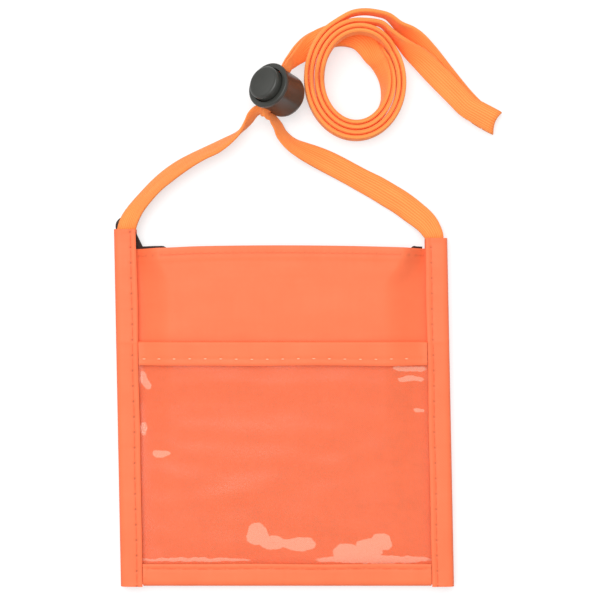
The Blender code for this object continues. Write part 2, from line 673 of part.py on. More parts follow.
def coil_route():
    """Clockwise turns, with a long low hump where they pass over the start."""
    points = []
    count = round(COIL_POINTS * COIL_TURNS)
    for k in range(count + 1):
        swept = math.tau * COIL_TURNS * k / count
        angle = COIL_START - swept
        out = swept / math.tau
        tuck = COIL_TUCK * max(1 - swept / COIL_SETTLE, 0.0)
        x = (COIL_HALF_WIDTH + COIL_STEP_ACROSS * out - tuck) * math.cos(angle)
        y = (COIL_HALF_LENGTH + COIL_STEP_ALONG * out - tuck) * math.sin(angle)
        place = math.atan2(y, x) % math.tau
        rise = HUMP_HEIGHT * smoothstep(HUMP_FLAT_SHARE * (1 - abs(place - HUMP_PLACE) / HUMP_RUN))
        roll = COIL_START_ROLL + (math.pi / 2 - COIL_START_ROLL) * min(swept / COIL_SETTLE, 1.0)
        z = CORD_REST + half_height(roll, 2) + rise
        points.append((COIL_CENTRE[0] * MM + x, COIL_CENTRE[1] * MM + y, z, roll, 1.0))
    return points


def beside(route, hand, first_spread):
    """One strand of the pair: hand -1 runs on the left, 1 on the right."""
    strand = []
    for k, (x, y, z, roll, width) in enumerate(route):
        before, after = route[max(k - 1, 0)], route[min(k + 1, len(route) - 1)]
        run = (Vector(after[:3]) - Vector(before[:3])).normalized()
        right = Vector((run.y, -run.x, 0)).normalized()
        face = right.cross(run) * math.cos(roll) + right * math.sin(roll)
        offset = face * CORD_PITCH / 2 * width
        if k >= first_spread:
            apart = (CORD_WIDTH + GAP) / 2 * math.cos(roll) + CORD_PITCH / 2 * math.sin(roll)
            offset = right * apart * width
        place = Vector((x, y, z)) + offset * hand
        strand.append((*place, roll, width))
    return strand


def smooth_path(points, step):
    """A smooth curve through the points, read off at even steps."""
    dense = []
    for k in range(len(points) - 1):
        p0, p1 = points[max(k - 1, 0)], points[k]
        p2, p3 = points[k + 1], points[min(k + 2, len(points) - 1)]
        for j in range(CURVE_STEPS):
            t = j / CURVE_STEPS
            dense.append([0.5 * (2 * b + (c - a) * t + (2 * a - 5 * b + 4 * c - d) * t * t
                                 + (3 * b - a - 3 * c + d) * t ** 3)
                          for a, b, c, d in zip(p0, p1, p2, p3)])
    dense.append(list(points[-1]))
    lengths = [0.0]
    for one, two in zip(dense, dense[1:]):
        lengths.append(lengths[-1] + math.dist(one[:3], two[:3]))
    total = lengths[-1]
    count = max(round(total / step), 2)
    path, k = [], 0
    for i in range(count + 1):
        want = total * i / count
        while k < len(lengths) - 2 and lengths[k + 1] < want:
            k += 1
        share = (want - lengths[k]) / (lengths[k + 1] - lengths[k])
        path.append([a + (b - a) * share for a, b in zip(dense[k], dense[k + 1])])
    return path, total


def flat_cord(name, path, shade):
    """A flat braid: a thin strip with round edges that follows the path and its roll."""
    curve = bpy.data.curves.new(name, "CURVE")
    curve.dimensions = "3D"
    curve.twist_mode = "Z_UP"
    curve.extrude = (CORD_WIDTH - CORD_THICKNESS) / 2
    curve.bevel_depth = CORD_THICKNESS / 2
    curve.bevel_resolution = 1
    curve.use_fill_caps = True
    spline = curve.splines.new("POLY")
    spline.points.add(len(path) - 1)
    for spot, (x, y, z, roll, width) in zip(spline.points, path):
        spot.co = (x, y, z, 1.0)
        spot.tilt = roll - math.pi / 2
        spot.radius = width
    item = bpy.data.objects.new(name, curve)
    curve.materials.append(shade)
    bpy.context.scene.collection.objects.link(item)
    return item


def cut_in_two(path, index):
    """Two runs of one path that face each other across a gap, square to their common direction."""
    middle = path[index]
    run = (Vector(path[index + 1][:3]) - Vector(path[index - 1][:3])).normalized()

    def moved(distance):
        return [*(Vector(middle[:3]) + run * distance), *middle[3:]]
    first = path[:index] + [moved(-GAP / 2)]
    second = [moved(GAP / 2)] + path[index + 1:]
    first.insert(-1, moved(-CORD_STRAIGHT))
    second.insert(1, moved(CORD_STRAIGHT))
    return first, second


def fold_route(left_path, right_path):
    """The folded end of the loop: the braid turns back on itself, tipped on edge."""
    one, two = (Vector(path[-1][:3]) for path in (left_path, right_path))
    ahead = sum((Vector(path[-1][:3]) - Vector(path[-2][:3]) for path in (left_path, right_path)), Vector())
    ahead.normalize()
    half = (one - two) / 2
    centre = (one + two) / 2 + ahead * FOLD_LEAD
    points = [(*(one + ahead * GAP), 0.0, 1.0)]
    for k in range(FOLD_POINTS + 1):
        angle = math.pi * k / FOLD_POINTS
        bend = math.sin(angle)
        roll = math.radians(FOLD_ROLL) * bend
        place = centre + half * math.cos(angle) + ahead * half.length * bend
        lift = (CORD_WIDTH - CORD_THICKNESS) / 2 * math.sin(roll)
        points.append((place.x, place.y, place.z + lift, roll, 1.0))
    points.append((*(two + ahead * GAP), 0.0, 1.0))
    return points


def least_gap(one, two, skip):
    """Least distance between the faces of two runs of the coil, from their points."""
    best = None
    for i, p in enumerate(one):
        for j, q in enumerate(two):
            if one is two and abs(i - j) < skip:
                continue
            apart = math.dist(p[:3], q[:3]) - CORD_THICKNESS
            if best is None or apart < best:
                best = apart
    return best


def make_cords(place, shade):
    gather = lock_run(place) + in_metres(PAIR_ROUTE, 2)
    pair = gather + coil_route() + in_metres(TAIL_ROUTE)
    spread = len(pair) - len(TAIL_ROUTE)
    halves, coils, total = [], [], 0.0
    for name, hand, route in (("left", -1, LEFT_ROUTE), ("right", 1, RIGHT_ROUTE)):
        strand = beside(pair, hand, spread)
        whole, length = smooth_path(in_metres(route) + strand, CORD_STEP)
        start = strand[len(gather) - 1]
        split = min(range(len(whole)), key=lambda k: math.dist(whole[k][:3], start[:3]))
        lead, coil = cut_in_two(whole, split)
        flat_cord(f"cord_{name}_strand", lead, shade)
        halves.append(whole)
        coils.append(coil)
        total += length
        print(f"cord {name} half: {length:.4f} m")
    fold = fold_route(*halves)
    for name, coil in zip(("left", "right"), coils):
        flat_cord(f"cord_{name}_coil", coil, shade)
    flat_cord("cord_fold", fold, shade)
    skip = round(COIL_POINTS / 2)
    print(f"coil: least gap to itself {min(least_gap(c, c, skip) for c in coils) / MM:.2f} mm")
    print(f"coil: least gap between halves {least_gap(*coils, 0) / MM:.2f} mm")
    print(f"cord in all: {total:.4f} m")


def main():
    clear_scene()
    cloth = finish("orange coated cloth", (1.0, 0.24, 0.11), 0.55)
    tape = finish("orange binding tape", (1.0, 0.27, 0.12), 0.6)
    vinyl = finish("clear vinyl", (1.0, 0.55, 0.4), 0.12, 0.0, 0.4)
    braid = finish("orange braid", (1.0, 0.36, 0.1), 0.7)
    black = finish("black zip tape", (0.012, 0.01, 0.01), 0.7)
    metal = finish("black metal", (0.03, 0.03, 0.03), 0.35, 0.9)
    plastic = finish("dark grey plastic", (0.09, 0.09, 0.08), 0.45)
    steel = finish("spring steel", (0.55, 0.55, 0.56), 0.3, 1.0)
    make_back_panel(cloth)
    make_front_panel(cloth)
    make_window(vinyl)
    make_window_binding(tape)
    make_bottom_binding(tape)
    make_side_binding("left_side_binding", -1, 0.0, tape)
    make_side_binding("right_side_binding", 1, RIGHT_BINDING_DROP, tape)
    for name, side in (("front", 1), ("back", -1)):
        make_zip_tape(f"zip_tape_{name}", side, black)
        make_teeth(f"zip_teeth_{name}", side, black)
        make_top_stop(f"zip_top_stop_{name}", side, metal)
    make_bottom_stop(metal)
    make_slider(metal)
    make_pull_tab(metal)
    make_tail(black)
    place = lock_place()
    make_barrel(place, plastic)
    make_plunger(place, plastic)
    make_spring(place, steel)
    make_cords(place, braid)


main()
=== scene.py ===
"""Neck wallet, dressed: coated cloth, clear window, bindings, zip, flat braided cord and cord lock."""
import math

import bmesh
import bpy
from mathutils import Matrix, Vector, noise


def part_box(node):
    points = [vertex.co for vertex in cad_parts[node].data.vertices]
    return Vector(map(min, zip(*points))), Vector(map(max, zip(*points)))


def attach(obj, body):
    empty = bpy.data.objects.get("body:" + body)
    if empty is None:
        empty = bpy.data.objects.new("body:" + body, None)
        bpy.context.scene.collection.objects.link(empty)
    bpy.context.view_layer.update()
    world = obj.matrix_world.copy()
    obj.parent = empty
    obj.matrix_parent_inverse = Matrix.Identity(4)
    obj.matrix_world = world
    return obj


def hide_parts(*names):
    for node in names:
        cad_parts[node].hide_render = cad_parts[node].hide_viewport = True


bl_info = {
    "name": "Neck wallet",
    "version": (1, 0, 0),
    "blender": (4, 5, 0),
    "location": "View3D > Sidebar > Wallet",
    "description": "Builds a neck wallet with a clear window, a zipped mouth and a braided cord",
    "category": "Object",
}

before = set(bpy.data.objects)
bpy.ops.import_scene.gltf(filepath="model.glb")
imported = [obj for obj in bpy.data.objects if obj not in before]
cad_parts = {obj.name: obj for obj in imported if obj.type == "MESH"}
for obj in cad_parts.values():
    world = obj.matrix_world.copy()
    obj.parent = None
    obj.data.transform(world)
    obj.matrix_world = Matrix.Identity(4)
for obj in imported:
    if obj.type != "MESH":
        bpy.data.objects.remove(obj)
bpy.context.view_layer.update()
MM = 0.001

# Places read from the frame
LEFT_LOW, LEFT_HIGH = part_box("left_side_binding")
RIGHT_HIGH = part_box("right_side_binding")[1]
BACK_LOW, BACK_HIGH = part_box("back_panel")
FRONT_LOW, FRONT_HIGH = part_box("front_panel")
STRIP_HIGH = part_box("window_top_binding")[1]
TAIL_BOX_LOW, TAIL_BOX_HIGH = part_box("zip_tape_tail")
TEETH_LOW, TEETH_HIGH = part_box("zip_teeth_front")

# Sizes of the pouch
LEAN_SHARE = -0.0196
CLOTH = 0.7 * MM
VINYL = 0.4 * MM
GAP = 0.3 * MM
SIDE_WIDTH = 8.4 * MM
BOTTOM_WIDTH = 8.5 * MM
STRIP_WIDTH = 9.0 * MM
TAPE = 0.6 * MM
STRIP_TAPE = 0.5 * MM
SETBACK = 2.4 * MM
PANEL_BOW = 1.0 * MM
PANEL_DIP = 0.2 * MM
DIP_END = 44.0 * MM
CROWN_BLEND = 9.0 * MM
CROWN_BLEND_LEFT = 14.0 * MM
CROWN_BLEND_RIGHT = 17.0 * MM
MOUTH_RUN = 16.0 * MM
CROWN_POWER = 1.5
VINYL_SETTLE = 6.0 * MM
BASE_Y = LEFT_LOW.y
TOP_Y = LEFT_HIGH.y
RIGHT_TOP_Y = RIGHT_HIGH.y
MIDDLE_Y = (BASE_Y + TOP_Y) / 2
HALF_WIDTH = (RIGHT_HIGH.x - LEFT_LOW.x + LEAN_SHARE * (TOP_Y - BASE_Y)) / 2
INNER_HALF = HALF_WIDTH - SIDE_WIDTH
SIDE_TOP = LEFT_HIGH.z
FRONT_EDGE = FRONT_LOW.z
PANEL_TOP = FRONT_HIGH.y - PANEL_BOW
CROWN = FRONT_HIGH.z - FRONT_EDGE - CLOTH
WINDOW_TOP = STRIP_HIGH.y
STRIP_HEIGHT = 2 * (STRIP_TAPE + GAP) + VINYL
STRIP_LIFT = STRIP_TAPE + GAP
DIP_RUN_SHARE = 0.3

# Soft waves of the front: long ones, and short ones drawn out across it
SWELL_LONG = 34.0 * MM
SWELL_SHORT = 17.0 * MM
SWELL_SHORT_SHARE = 0.45
SWELL_DRAWN = 2.2

# Seams, the front's hem and its rounded top edge
GROOVE_HALF = 0.75 * MM
NEEDLE_ALONG = 0.5 * MM
NEEDLE_ACROSS = 0.42 * MM
SEAM_SHARE = 0.55
NEEDLE_SHARE = 0.9
STITCH_SHARES = (0.12, 0.88)
DOT_SHARES = (-0.11, 0.11)
DOT_FULLNESS = 1.5
THREAD_SEAT_SHARE = 0.6
THREAD_UNDER_SHARE = 1.1
HEM = 5.4 * MM
HEM_SEAM = 2.7 * MM
HEM_RISE = 0.22 * MM
HEM_RUN = 0.9 * MM
HEM_THREAD_SEAT = 0.14 * MM
HEM_GROOVE_SHARE = 0.4
HEM_HOLE_SHADE_SHARE = 0.45
EDGE_FALL = 0.3 * MM
EDGE_RUN = 0.5 * MM

# Folded tapes: lip beside the seam, worn inner rim, turned ends, ridges over what lies beneath
TAPE_SQUARENESS = 0.72
TAPE_STEP_ALONG = 0.5 * MM
TAPE_STEP_ACROSS = 0.42 * MM
LIP_RISE = 0.16 * MM
LIP_START = 0.4 * MM
LIP_RUN = 0.7 * MM
RIM_FALL = 0.3 * MM
RIM_RUN = 0.6 * MM
TURNED_RISE = 0.14 * MM
TURNED_DEPTH = 1.6 * MM
TURNED_RUN = 0.4 * MM
RIDGE_RISE = 0.22 * MM
RIDGE_HALF = 1.1 * MM
EDGE_WANDER_RUN = 2.0 * MM

# Unevenness of single pieces: size and height of the noise, and its layer
SEAM_WANDER = (21.0 * MM, 0.25 * MM)
FRONT_GRAIN = (6.0 * MM, 0.06 * MM, 5.0)
BACK_WAVE = (30.0 * MM, 0.5 * MM, 8.0)
BACK_SINK = 0.1 * MM
FILM_WAVE = (15.0 * MM, 0.1 * MM, 12.0)
TAPE_GRAIN = (7.0 * MM, 0.08 * MM, 4.0)
TAPE_EDGE = (26.0 * MM, 0.22 * MM, 9.0)

# Faces of the sheets, across and along
FRONT_GRID = (190, 200)
BACK_GRID = (120, 120)
FILM_GRID = (140, 110)
ZIP_GRID = (24, 160)
TAIL_GRID = (20, 60)

# Zip tapes and the tape end turned up at the mouth's left
CHAIN_Y = (TEETH_LOW.y + TEETH_HIGH.y) / 2
TEETH_HALF = 41.0 * MM
ZIP_TAPE = 0.5 * MM
ZIP_LEG = 8.0 * MM
ZIP_LEG_SHARE = 0.75
ZIP_END = 12.6 * MM
ZIP_FLARE = 4.2 * MM
FLARE_START = -1.4 * MM
FLARE_START_RIGHT = 4.6 * MM
FLARE_RUN = 5.0 * MM
TAPE_REACH = 2.1 * MM
TAIL_HALF = 3.7 * MM
TAIL_INNER = 2.6 * MM
TAIL_SHIFT = 0.8 * MM
TAIL_LENGTH = 10.8 * MM
TAIL_TAPE = 0.7 * MM
TAIL_INSET = 5.0 * MM
TAIL_TURN = math.radians(116)
TAIL_ROUND_SHARE = 0.995

# Cord lock
LOCK_PLACE = (2.2 * MM, 115.1 * MM)
LOCK_AZIMUTH = math.radians(155)
LOCK_TILT = math.radians(39)
BARREL_RADIUS = 8.75 * MM
BARREL_LENGTH = 14.5 * MM
BARREL_BORE = 6.7 * MM
BARREL_FLOOR = 1.2 * MM
BARREL_ROUND = 3.0 * MM
FLANGE_HEIGHT = 1.6 * MM
FLANGE_LIP = 0.45 * MM
EDGE_ROUND = 0.3 * MM
PLUNGER_PLAY = 0.3 * MM
PLUNGER_PROUD = 3.0 * MM
PLUNGER_TRAVEL = 2.0 * MM
PLUNGER_TOP_WALL = 1.0 * MM
PLUNGER_FOOT = 1.3 * MM
BUTTON_ROUND = 0.9 * MM
BUTTON_DISH = 0.35 * MM
LATHE_STEPS = 96
ROUND_STEPS = 6
DISH_SHARES = (0.9, 0.7, 0.45, 0.2, 0.0)

# Cord
CORD_WIDTH = 8.7 * MM
CORD_THICKNESS = 1.75 * MM
CORD_FULLNESS = 1.9 * MM
CORD_PITCH = 1.92 * MM
PINCH_SHARE = 0.53
CORD_STEP = 0.8 * MM
CORD_REST = 0.25 * MM
CORD_LIFT = 0.15 * MM
CORD_SIDES = 44
BRAID_SQUARENESS = 0.34
LEVEL_LEAST = 0.25
CURVE_STEPS = 12
PLUNGER_HOLE = CORD_WIDTH * PINCH_SHARE + 2 * GAP + PLUNGER_TRAVEL
HOLE_WIDTH = (CORD_PITCH + CORD_THICKNESS) * PINCH_SHARE + 3 * GAP
HOLE_Z = BARREL_LENGTH - PLUNGER_TOP_WALL - PLUNGER_TRAVEL - GAP - CORD_WIDTH * PINCH_SHARE / 2

# The cord's route: x, y and the height of its lower face in mm, roll in degrees, share of the full width.
# Roll 0 lies flat, roll 90 stands on edge with its face to the right of the way it runs.
LEFT_ROUTE = [
    (-60.2, 59.0, 2.9, 0, 0.76), (-60.3, 62.5, 2.9, 0, 0.8), (-59.8, 65.8, 2.9, -6, 0.82),
    (-58.5, 69.4, 2.4, -22, 0.84), (-56.3, 73.2, 0.8, -40, 0.9), (-52.9, 77.4, 0.2, -49, 0.95),
    (-48.5, 82.1, 0.2, -52, 0.98), (-44.1, 85.8, 0.2, -51, 0.99), (-39.5, 89.1, 0.2, -53, 0.99),
    (-35.0, 91.8, 0.2, -57, 0.98), (-30.4, 94.2, 0.2, -60, 0.97), (-25.9, 96.3, 0.2, -60, 0.97),
    (-21.3, 99.1, 0.2, -68, 0.94), (-16.9, 102.4, 0.4, -84, 0.86), (-13.7, 105.9, 1.6, -104, 0.74),
    (-11.5, 108.9, 4.8, -120, 0.64), (-9.3, 110.2, 7.4, -126, 0.56)]
RIGHT_ROUTE = [
    (57.4, 58.9, 2.9, 0, 0.76), (57.35, 61.0, 2.9, 0, 0.78), (56.8, 63.7, 2.9, 0, 0.86),
    (54.0, 68.1, 1.8, 0, 0.99), (48.9, 72.5, 0.4, 0, 1.07), (44.3, 75.9, 0.2, 0, 1.08),
    (39.7, 78.7, 0.2, 0, 1.08), (35.0, 81.5, 0.2, 0, 1.06), (30.4, 83.9, 0.2, 0, 1.02),
    (25.8, 86.4, 0.2, 2, 1.0), (21.3, 88.8, 0.2, 6, 1.0), (16.7, 91.1, 0.2, 12, 1.0),
    (12.1, 93.2, 0.2, 22, 0.98), (7.6, 95.2, 0.2, 34, 0.94), (3.0, 97.7, 0.3, 46, 0.86),
    (-0.6, 101.2, 1.0, 52, 0.78), (-2.6, 104.8, 3.6, 54, 0.68), (-4.8, 107.6, 6.6, 53, 0.58)]
PAIR_ROUTE = [
    (3.1, 129.0, 5.4, 49, 0.66), (6.4, 132.4, 2.2, 38, 0.85), (10.4, 135.6, 0.4, 18, 0.97),
    (14.8, 138.0, 0.2, 4, 1.0), (19.6, 139.6, 0.2, 0, 1.0), (24.2, 139.6, 0.2, 0, 1.0),
    (28.5, 138.2, 0.2, 6, 1.0), (32.2, 135.0, 0.2, 21, 1.0)]
LEFT_TAIL = [
    (25.4, 146.3, 5.85, 90, 1.0), (30.4, 147.1, 5.8, 90, 1.0), (35.4, 146.6, 5.4, 90, 1.0),
    (39.6, 145.5, 4.0, 88, 1.0), (43.5, 142.7, 1.9, 78, 1.0), (47.2, 140.2, 0.5, 60, 1.0),
    (50.6, 137.2, 0.2, 46, 1.0), (54.4, 132.6, 0.2, 30, 1.0), (59.8, 125.9, 0.2, 14, 0.98),
    (64.9, 119.8, 0.2, 4, 0.96), (69.3, 114.7, 0.2, 0, 0.96), (73.9, 110.0, 0.2, 0, 1.0),
    (77.2, 108.1, 0.2, 0, 1.06)]
RIGHT_TAIL = [
    (36.4, 142.8, 5.0, 90, 1.0), (40.2, 140.1, 3.4, 86, 1.0), (43.7, 137.0, 2.2, 76, 1.0),
    (47.8, 133.3, 1.6, 56, 1.0), (52.6, 129.4, 2.0, 32, 1.0), (57.8, 124.2, 2.5, 14, 1.0),
    (62.0, 120.0, 2.8, 6, 1.0), (66.0, 116.0, 2.8, 2, 1.0), (69.8, 112.2, 2.8, 0, 1.0),
    (74.1, 109.7, 2.75, 0, 1.03), (78.6, 107.2, 2.7, 0, 1.06)]
LEFT_TAIL_START = 3
RIGHT_TAIL_START = 1
LOCK_RUN_SHARES = (-1.05, -0.6, 0.0, 0.6, 1.15)

# The coil: two turns on edge, each outside the last, over the cord's own start
COIL_CENTRE = (28.0, 121.8)
COIL_HALF_WIDTH = 12.1 * MM
COIL_HALF_LENGTH = 15.4 * MM
COIL_STEP = 3.97 * MM
COIL_TURNS = 1.93
COIL_START = math.radians(42)
COIL_START_ROLL = math.radians(46)
COIL_SETTLE = math.radians(85)
COIL_TUCK = 2.4 * MM
COIL_POINTS = 24
HUMP_PLACE = math.radians(114)
HUMP_RUN = math.radians(74)
HUMP_HEIGHT = 5.6 * MM
HUMP_FLAT_SHARE = 2.0
FOLD_POINTS = 8
FOLD_CORNERS = 1.8 * MM
FOLD_REACH = 5.0 * MM
FOLD_LAP = 1.6 * MM
END_GAP = 0.02 * MM

# Stage
SENSOR = 36.0
FLOOR_HALF = 3.0
FLOOR_SEEN = 1.04
LAMP_SIZE = 0.9
LAMP_SHIFT = (-0.16, 0.22)
LAMP_HEIGHT = 0.85

# Angles in degrees past which an edge stays sharp
CLOTH_SHARP = 50
CORD_SHARP = 70
LOCK_SHARP = 38

# Painted highlights on the window's film, seen as paler patches: middle and half size in mm
FILM_HIGHLIGHT_PATCHES = [
    (-10.1, -50.4, 3.9, 4.2), (-4.6, -53.8, 4.9, 2.5), (5.7, -54.3, 6.7, 2.5), (34.2, -60.2, 21.7, 1.5),
    (23.9, -57.8, 5.4, 3.7), (32.7, -55.9, 5.2, 3.6), (37.2, -53.5, 3.7, 3.3), (-34.0, -60.3, 21.0, 0.7),
    (-53.2, 8.6, 1.3, 3.0), (-51.9, 6.4, 1.3, 1.6), (-53.4, -10.5, 1.4, 2.6), (-47.1, -19.8, 3.2, 1.4),
    (47.9, 12.3, 6.6, 1.0), (48.2, 8.7, 5.2, 1.1), (50.9, -3.5, 2.0, 0.7)]


def size_setting(name, description, size):
    """A size that a user can change."""
    return bpy.props.FloatProperty(name=name, description=description, default=size, unit="LENGTH")


def colour_setting(name, description, *channels):
    """A colour that a user can change."""
    return bpy.props.FloatVectorProperty(
        name=name, description=description, default=channels, subtype="COLOR")


class WalletSizes(bpy.types.PropertyGroup):
    """Sizes of the sewing and the cloth's unevenness"""
    stitch_pitch: size_setting("Stitch pitch", "Length of one stitch of the bindings", 5.85 * MM)
    hem_pitch: size_setting("Hem stitch pitch", "Length of one stitch of the panel's hem", 3.0 * MM)
    thread: size_setting("Thread", "Thickness of the sewing thread", 0.34 * MM)
    seam_depth: size_setting("Seam depth", "How deep a seam pulls into the tape", 0.26 * MM)
    side_seam: size_setting("Side seam inset", "Side seam to the binding's inner edge", 2.0 * MM)
    bottom_seam: size_setting("Bottom seam inset", "Bottom seam to the binding's inner edge", 1.7 * MM)
    strip_seam: size_setting("Strip seam inset", "Seam to the lower edge of the window's strip", 2.4 * MM)
    swell: size_setting("Swell", "Soft unevenness of the cloth", 0.45 * MM)


class WalletColours(bpy.types.PropertyGroup):
    """Colours of the wallet's materials"""
    cloth: colour_setting("Cloth", "Coated cloth of the panels", 0.93, 0.183, 0.069)
    tape: colour_setting("Binding tape", "Tape of the bindings", 0.945, 0.187, 0.071)
    film: colour_setting("Window film", "Tint of the clear film", 0.83, 0.228, 0.098)
    # The film's paler patches are painted highlight.
    cling: colour_setting("Film highlight", "Paler painted highlight patches of the film", 1.0, 0.86, 0.66)
    braid: colour_setting("Braid", "Ridges of the cord", 0.95, 0.37, 0.092)
    # The grooves' colour is painted shade between the braid's ridges.
    braid_groove_shade: colour_setting("Braid groove shade", "Painted shade in the cord's grooves", 0.93, 0.145, 0.025)
    pale_thread: colour_setting("Pale thread", "Thread of the window strip's seam", 1.0, 0.5, 0.3)
    zip_black: colour_setting("Zip tape", "Woven tape of the zip", 0.022, 0.014, 0.012)
    plastic: colour_setting("Lock plastic", "Moulded plastic of the cord lock", 0.038, 0.039, 0.034)
    steel: colour_setting("Spring steel", "Wire of the lock's spring", 0.55, 0.55, 0.56)
    lacquer: colour_setting("Zip metal", "Lacquered metal of the slider and stops", 0.03, 0.028, 0.027)


class WalletStage(bpy.types.PropertyGroup):
    """The camera's view and the light"""
    lens: bpy.props.FloatProperty(name="Lens", description="Focal length in mm", default=100.0, unit="CAMERA")
    field: bpy.props.FloatProperty(
        name="Field", description="Width of the view at the wallet", default=228.0 * MM, unit="LENGTH")
    centre: bpy.props.FloatVectorProperty(
        name="View centre", description="Point under the camera", default=(6.1 * MM, 38.5 * MM, 5.0 * MM),
        subtype="TRANSLATION")
    key: bpy.props.FloatProperty(
        name="Key lamp", description="Power of the large soft lamp", default=6.0, unit="POWER")
    fill: bpy.props.FloatProperty(
        name="Surround", description="Strength of the even light", default=0.64, subtype="FACTOR")
    floor: bpy.props.FloatProperty(
        name="Floor", description="Brightness of the floor's own colour", default=0.5, subtype="FACTOR")


def sizes():
    """The sizes that a user can change."""
    return bpy.context.scene.wallet_sizes


def dye(name):
    """One of the wallet's colours, as plain numbers."""
    return tuple(getattr(bpy.context.scene.wallet_colours, name))


def smoothstep(value):
    """A soft step from 0 at 0 to 1 at 1."""
    value = min(max(value, 0.0), 1.0)
    return value * value * (3 - 2 * value)


def leaned(x, y):
    """Sideways place after the pouch's slight lean."""
    return x + LEAN_SHARE * (y - MIDDLE_Y)


def on_wallet(x, y, z):
    """A point of the wallet, leaned with it."""
    return Vector((leaned(x, y), y, z))


def uneven(x, y, size, height, layer=0.0):
    """A soft unevenness of the given size and height, the same each run."""
    return height * noise.noise(Vector((x / size, y / size, layer)))


def panel_top(x):
    """The front's top edge: a low bow, with a dip at its left end."""
    dip = PANEL_DIP * (1 - smoothstep((x + DIP_END) / (DIP_RUN_SHARE * DIP_END)))
    return PANEL_TOP + PANEL_BOW * (1 - (x / INNER_HALF) ** 2) - dip


def swell(x, y):
    """Soft waves of the front, none under the bindings."""
    inside = smoothstep((INNER_HALF - abs(x)) / CROWN_BLEND)
    inside *= smoothstep((y - BASE_Y - BOTTOM_WIDTH) / CROWN_BLEND)
    wave = uneven(x, y, SWELL_LONG, 1.0)
    wave += uneven(x, y * SWELL_DRAWN, SWELL_SHORT, SWELL_SHORT_SHARE, layer=3.0)
    return sizes().swell * wave * inside


def crown(x, y):
    """Rise of the front over its edges: most at the mouth, none at the bottom."""
    along = min(max((y - BASE_Y) / (PANEL_TOP - BASE_Y), 0.0), 1.0)
    wide = CROWN_BLEND_LEFT if x < 0 else CROWN_BLEND_RIGHT
    blend = CROWN_BLEND + (wide - CROWN_BLEND) * smoothstep((PANEL_TOP - y) / MOUTH_RUN)
    return CROWN * smoothstep((INNER_HALF - abs(x)) / blend) * along ** CROWN_POWER


def front_low(x, y):
    """Height of the front cloth's lower face."""
    return FRONT_EDGE + crown(x, y) + swell(x, y)


def window_low(x, y):
    """The film lies on the front and lifts into the fold of its strip."""
    below = (WINDOW_TOP - STRIP_WIDTH - VINYL_SETTLE - y) / STRIP_WIDTH
    return front_low(x, y) + CLOTH + GAP + STRIP_LIFT * (1 - smoothstep(below))


def seam(across, along, pitch):
    """Depth and painted shade of a sewn line: a groove with a needle hole at each stitch's end, the hole
    darkened by painted shade.
    """
    near = abs(along / pitch - round(along / pitch)) * pitch
    groove = math.exp(-(across / GROOVE_HALF) ** 2)
    hole = math.exp(-(near / NEEDLE_ALONG) ** 2)
    # The darkness is painted shade in each needle hole.
    dark = hole * math.exp(-(across / NEEDLE_ACROSS) ** 2)
    return sizes().seam_depth * groove * (SEAM_SHARE + NEEDLE_SHARE * hole), dark


def wander(along):
    """How far a sewn line strays at a place along it."""
    return uneven(along, 0, *SEAM_WANDER)


def new_object(name, data):
    """An object in the scene."""
    made = bpy.data.objects.new(name, data)
    bpy.context.scene.collection.objects.link(made)
    return made


def finish_piece(name, form, shade, sharp=CLOTH_SHARP):
    """A bmesh as a finished object at the origin."""
    mesh = bpy.data.meshes.new(name)
    form.to_mesh(mesh)
    form.free()
    mesh.shade_smooth()
    mesh.set_sharp_from_angle(angle=math.radians(sharp))
    mesh.materials.append(shade)
    return new_object(name, mesh)


def wallet_piece(piece, slot, *nodes):
    """Ride on the wallet and stand for its solids."""
    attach(piece, "wallet")
    if nodes:
        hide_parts(*nodes)


def mapped_grid(grid, size):
    """A grid from 0 to 1 both ways, with a map in mm of the sheet that it stands for."""
    form = bmesh.new()
    bmesh.ops.create_grid(form, x_segments=grid[0], y_segments=grid[1], size=0.5)
    chart = form.loops.layers.uv.new("map")
    for vert in form.verts:
        vert.co.x += 0.5
        vert.co.y += 0.5
        for loop in vert.link_loops:
            loop[chart].uv = (vert.co.x * size[0] / MM, vert.co.y * size[1] / MM)
    return form


def sheet_form(grid, size, place, thickness):
    """A sheet laid by a rule of two shares for its middle surface, with a wall and a layer of painted shade
    for the needle holes.
    """
    form = mapped_grid(grid, size)
    hole_shade = form.verts.layers.float.new("needle")
    for vert in form.verts:
        vert.co, vert[hole_shade] = place(vert.co.x, vert.co.y)
    form.normal_update()
    shifts = [(vert, vert.normal * thickness / 2) for vert in form.verts]
    for vert, shift in shifts:
        vert.co += shift
    bmesh.ops.solidify(form, geom=form.faces[:], thickness=thickness)
    bmesh.ops.recalc_face_normals(form, faces=form.faces)
    return form


def tube_form(grid, size, place):
    """A closed tube laid by a rule of two shares, with its ends filled."""
    form = mapped_grid(grid, size)
    for vert in form.verts:
        vert.co = place(vert.co.x, vert.co.y)
    bmesh.ops.remove_doubles(form, verts=form.verts, dist=GAP / 1000)
    bmesh.ops.holes_fill(form, edges=[e for e in form.edges if e.is_boundary], sides=0)
    bmesh.ops.recalc_face_normals(form, faces=form.faces)
    return form


def link_or_set(tree, socket, value):
    """Feed a socket by another one or by a plain value."""
    if isinstance(value, bpy.types.NodeSocket):
        tree.links.new(value, socket)
    elif value is not None:
        socket.default_value = value


def add(tree, kind, *feeds, **settings):
    """A node whose inputs are fed in order."""
    made = tree.nodes.new(kind)
    for key, value in settings.items():
        setattr(made, key, value)
    for socket, value in zip(made.inputs, feeds):
        link_or_set(tree, socket, value)
    return made


def feed(tree, node, **values):
    """Feed a node's inputs by their labels, with _ for a space."""
    for label, value in values.items():
        link_or_set(tree, node.inputs[label.replace("_", " ")], value)


def calc(tree, operation, *feeds):
    """A number worked out from others."""
    return add(tree, "ShaderNodeMath", *feeds, operation=operation).outputs[0]


def tint(tree, share, first, second):
    """A colour between two others."""
    made = add(tree, "ShaderNodeMix", share, data_type="RGBA")
    for socket, value in zip(made.inputs[6:8], (first, second)):
        link_or_set(tree, socket, value if isinstance(value, bpy.types.NodeSocket) else (*value, 1.0))
    return made.outputs[2]


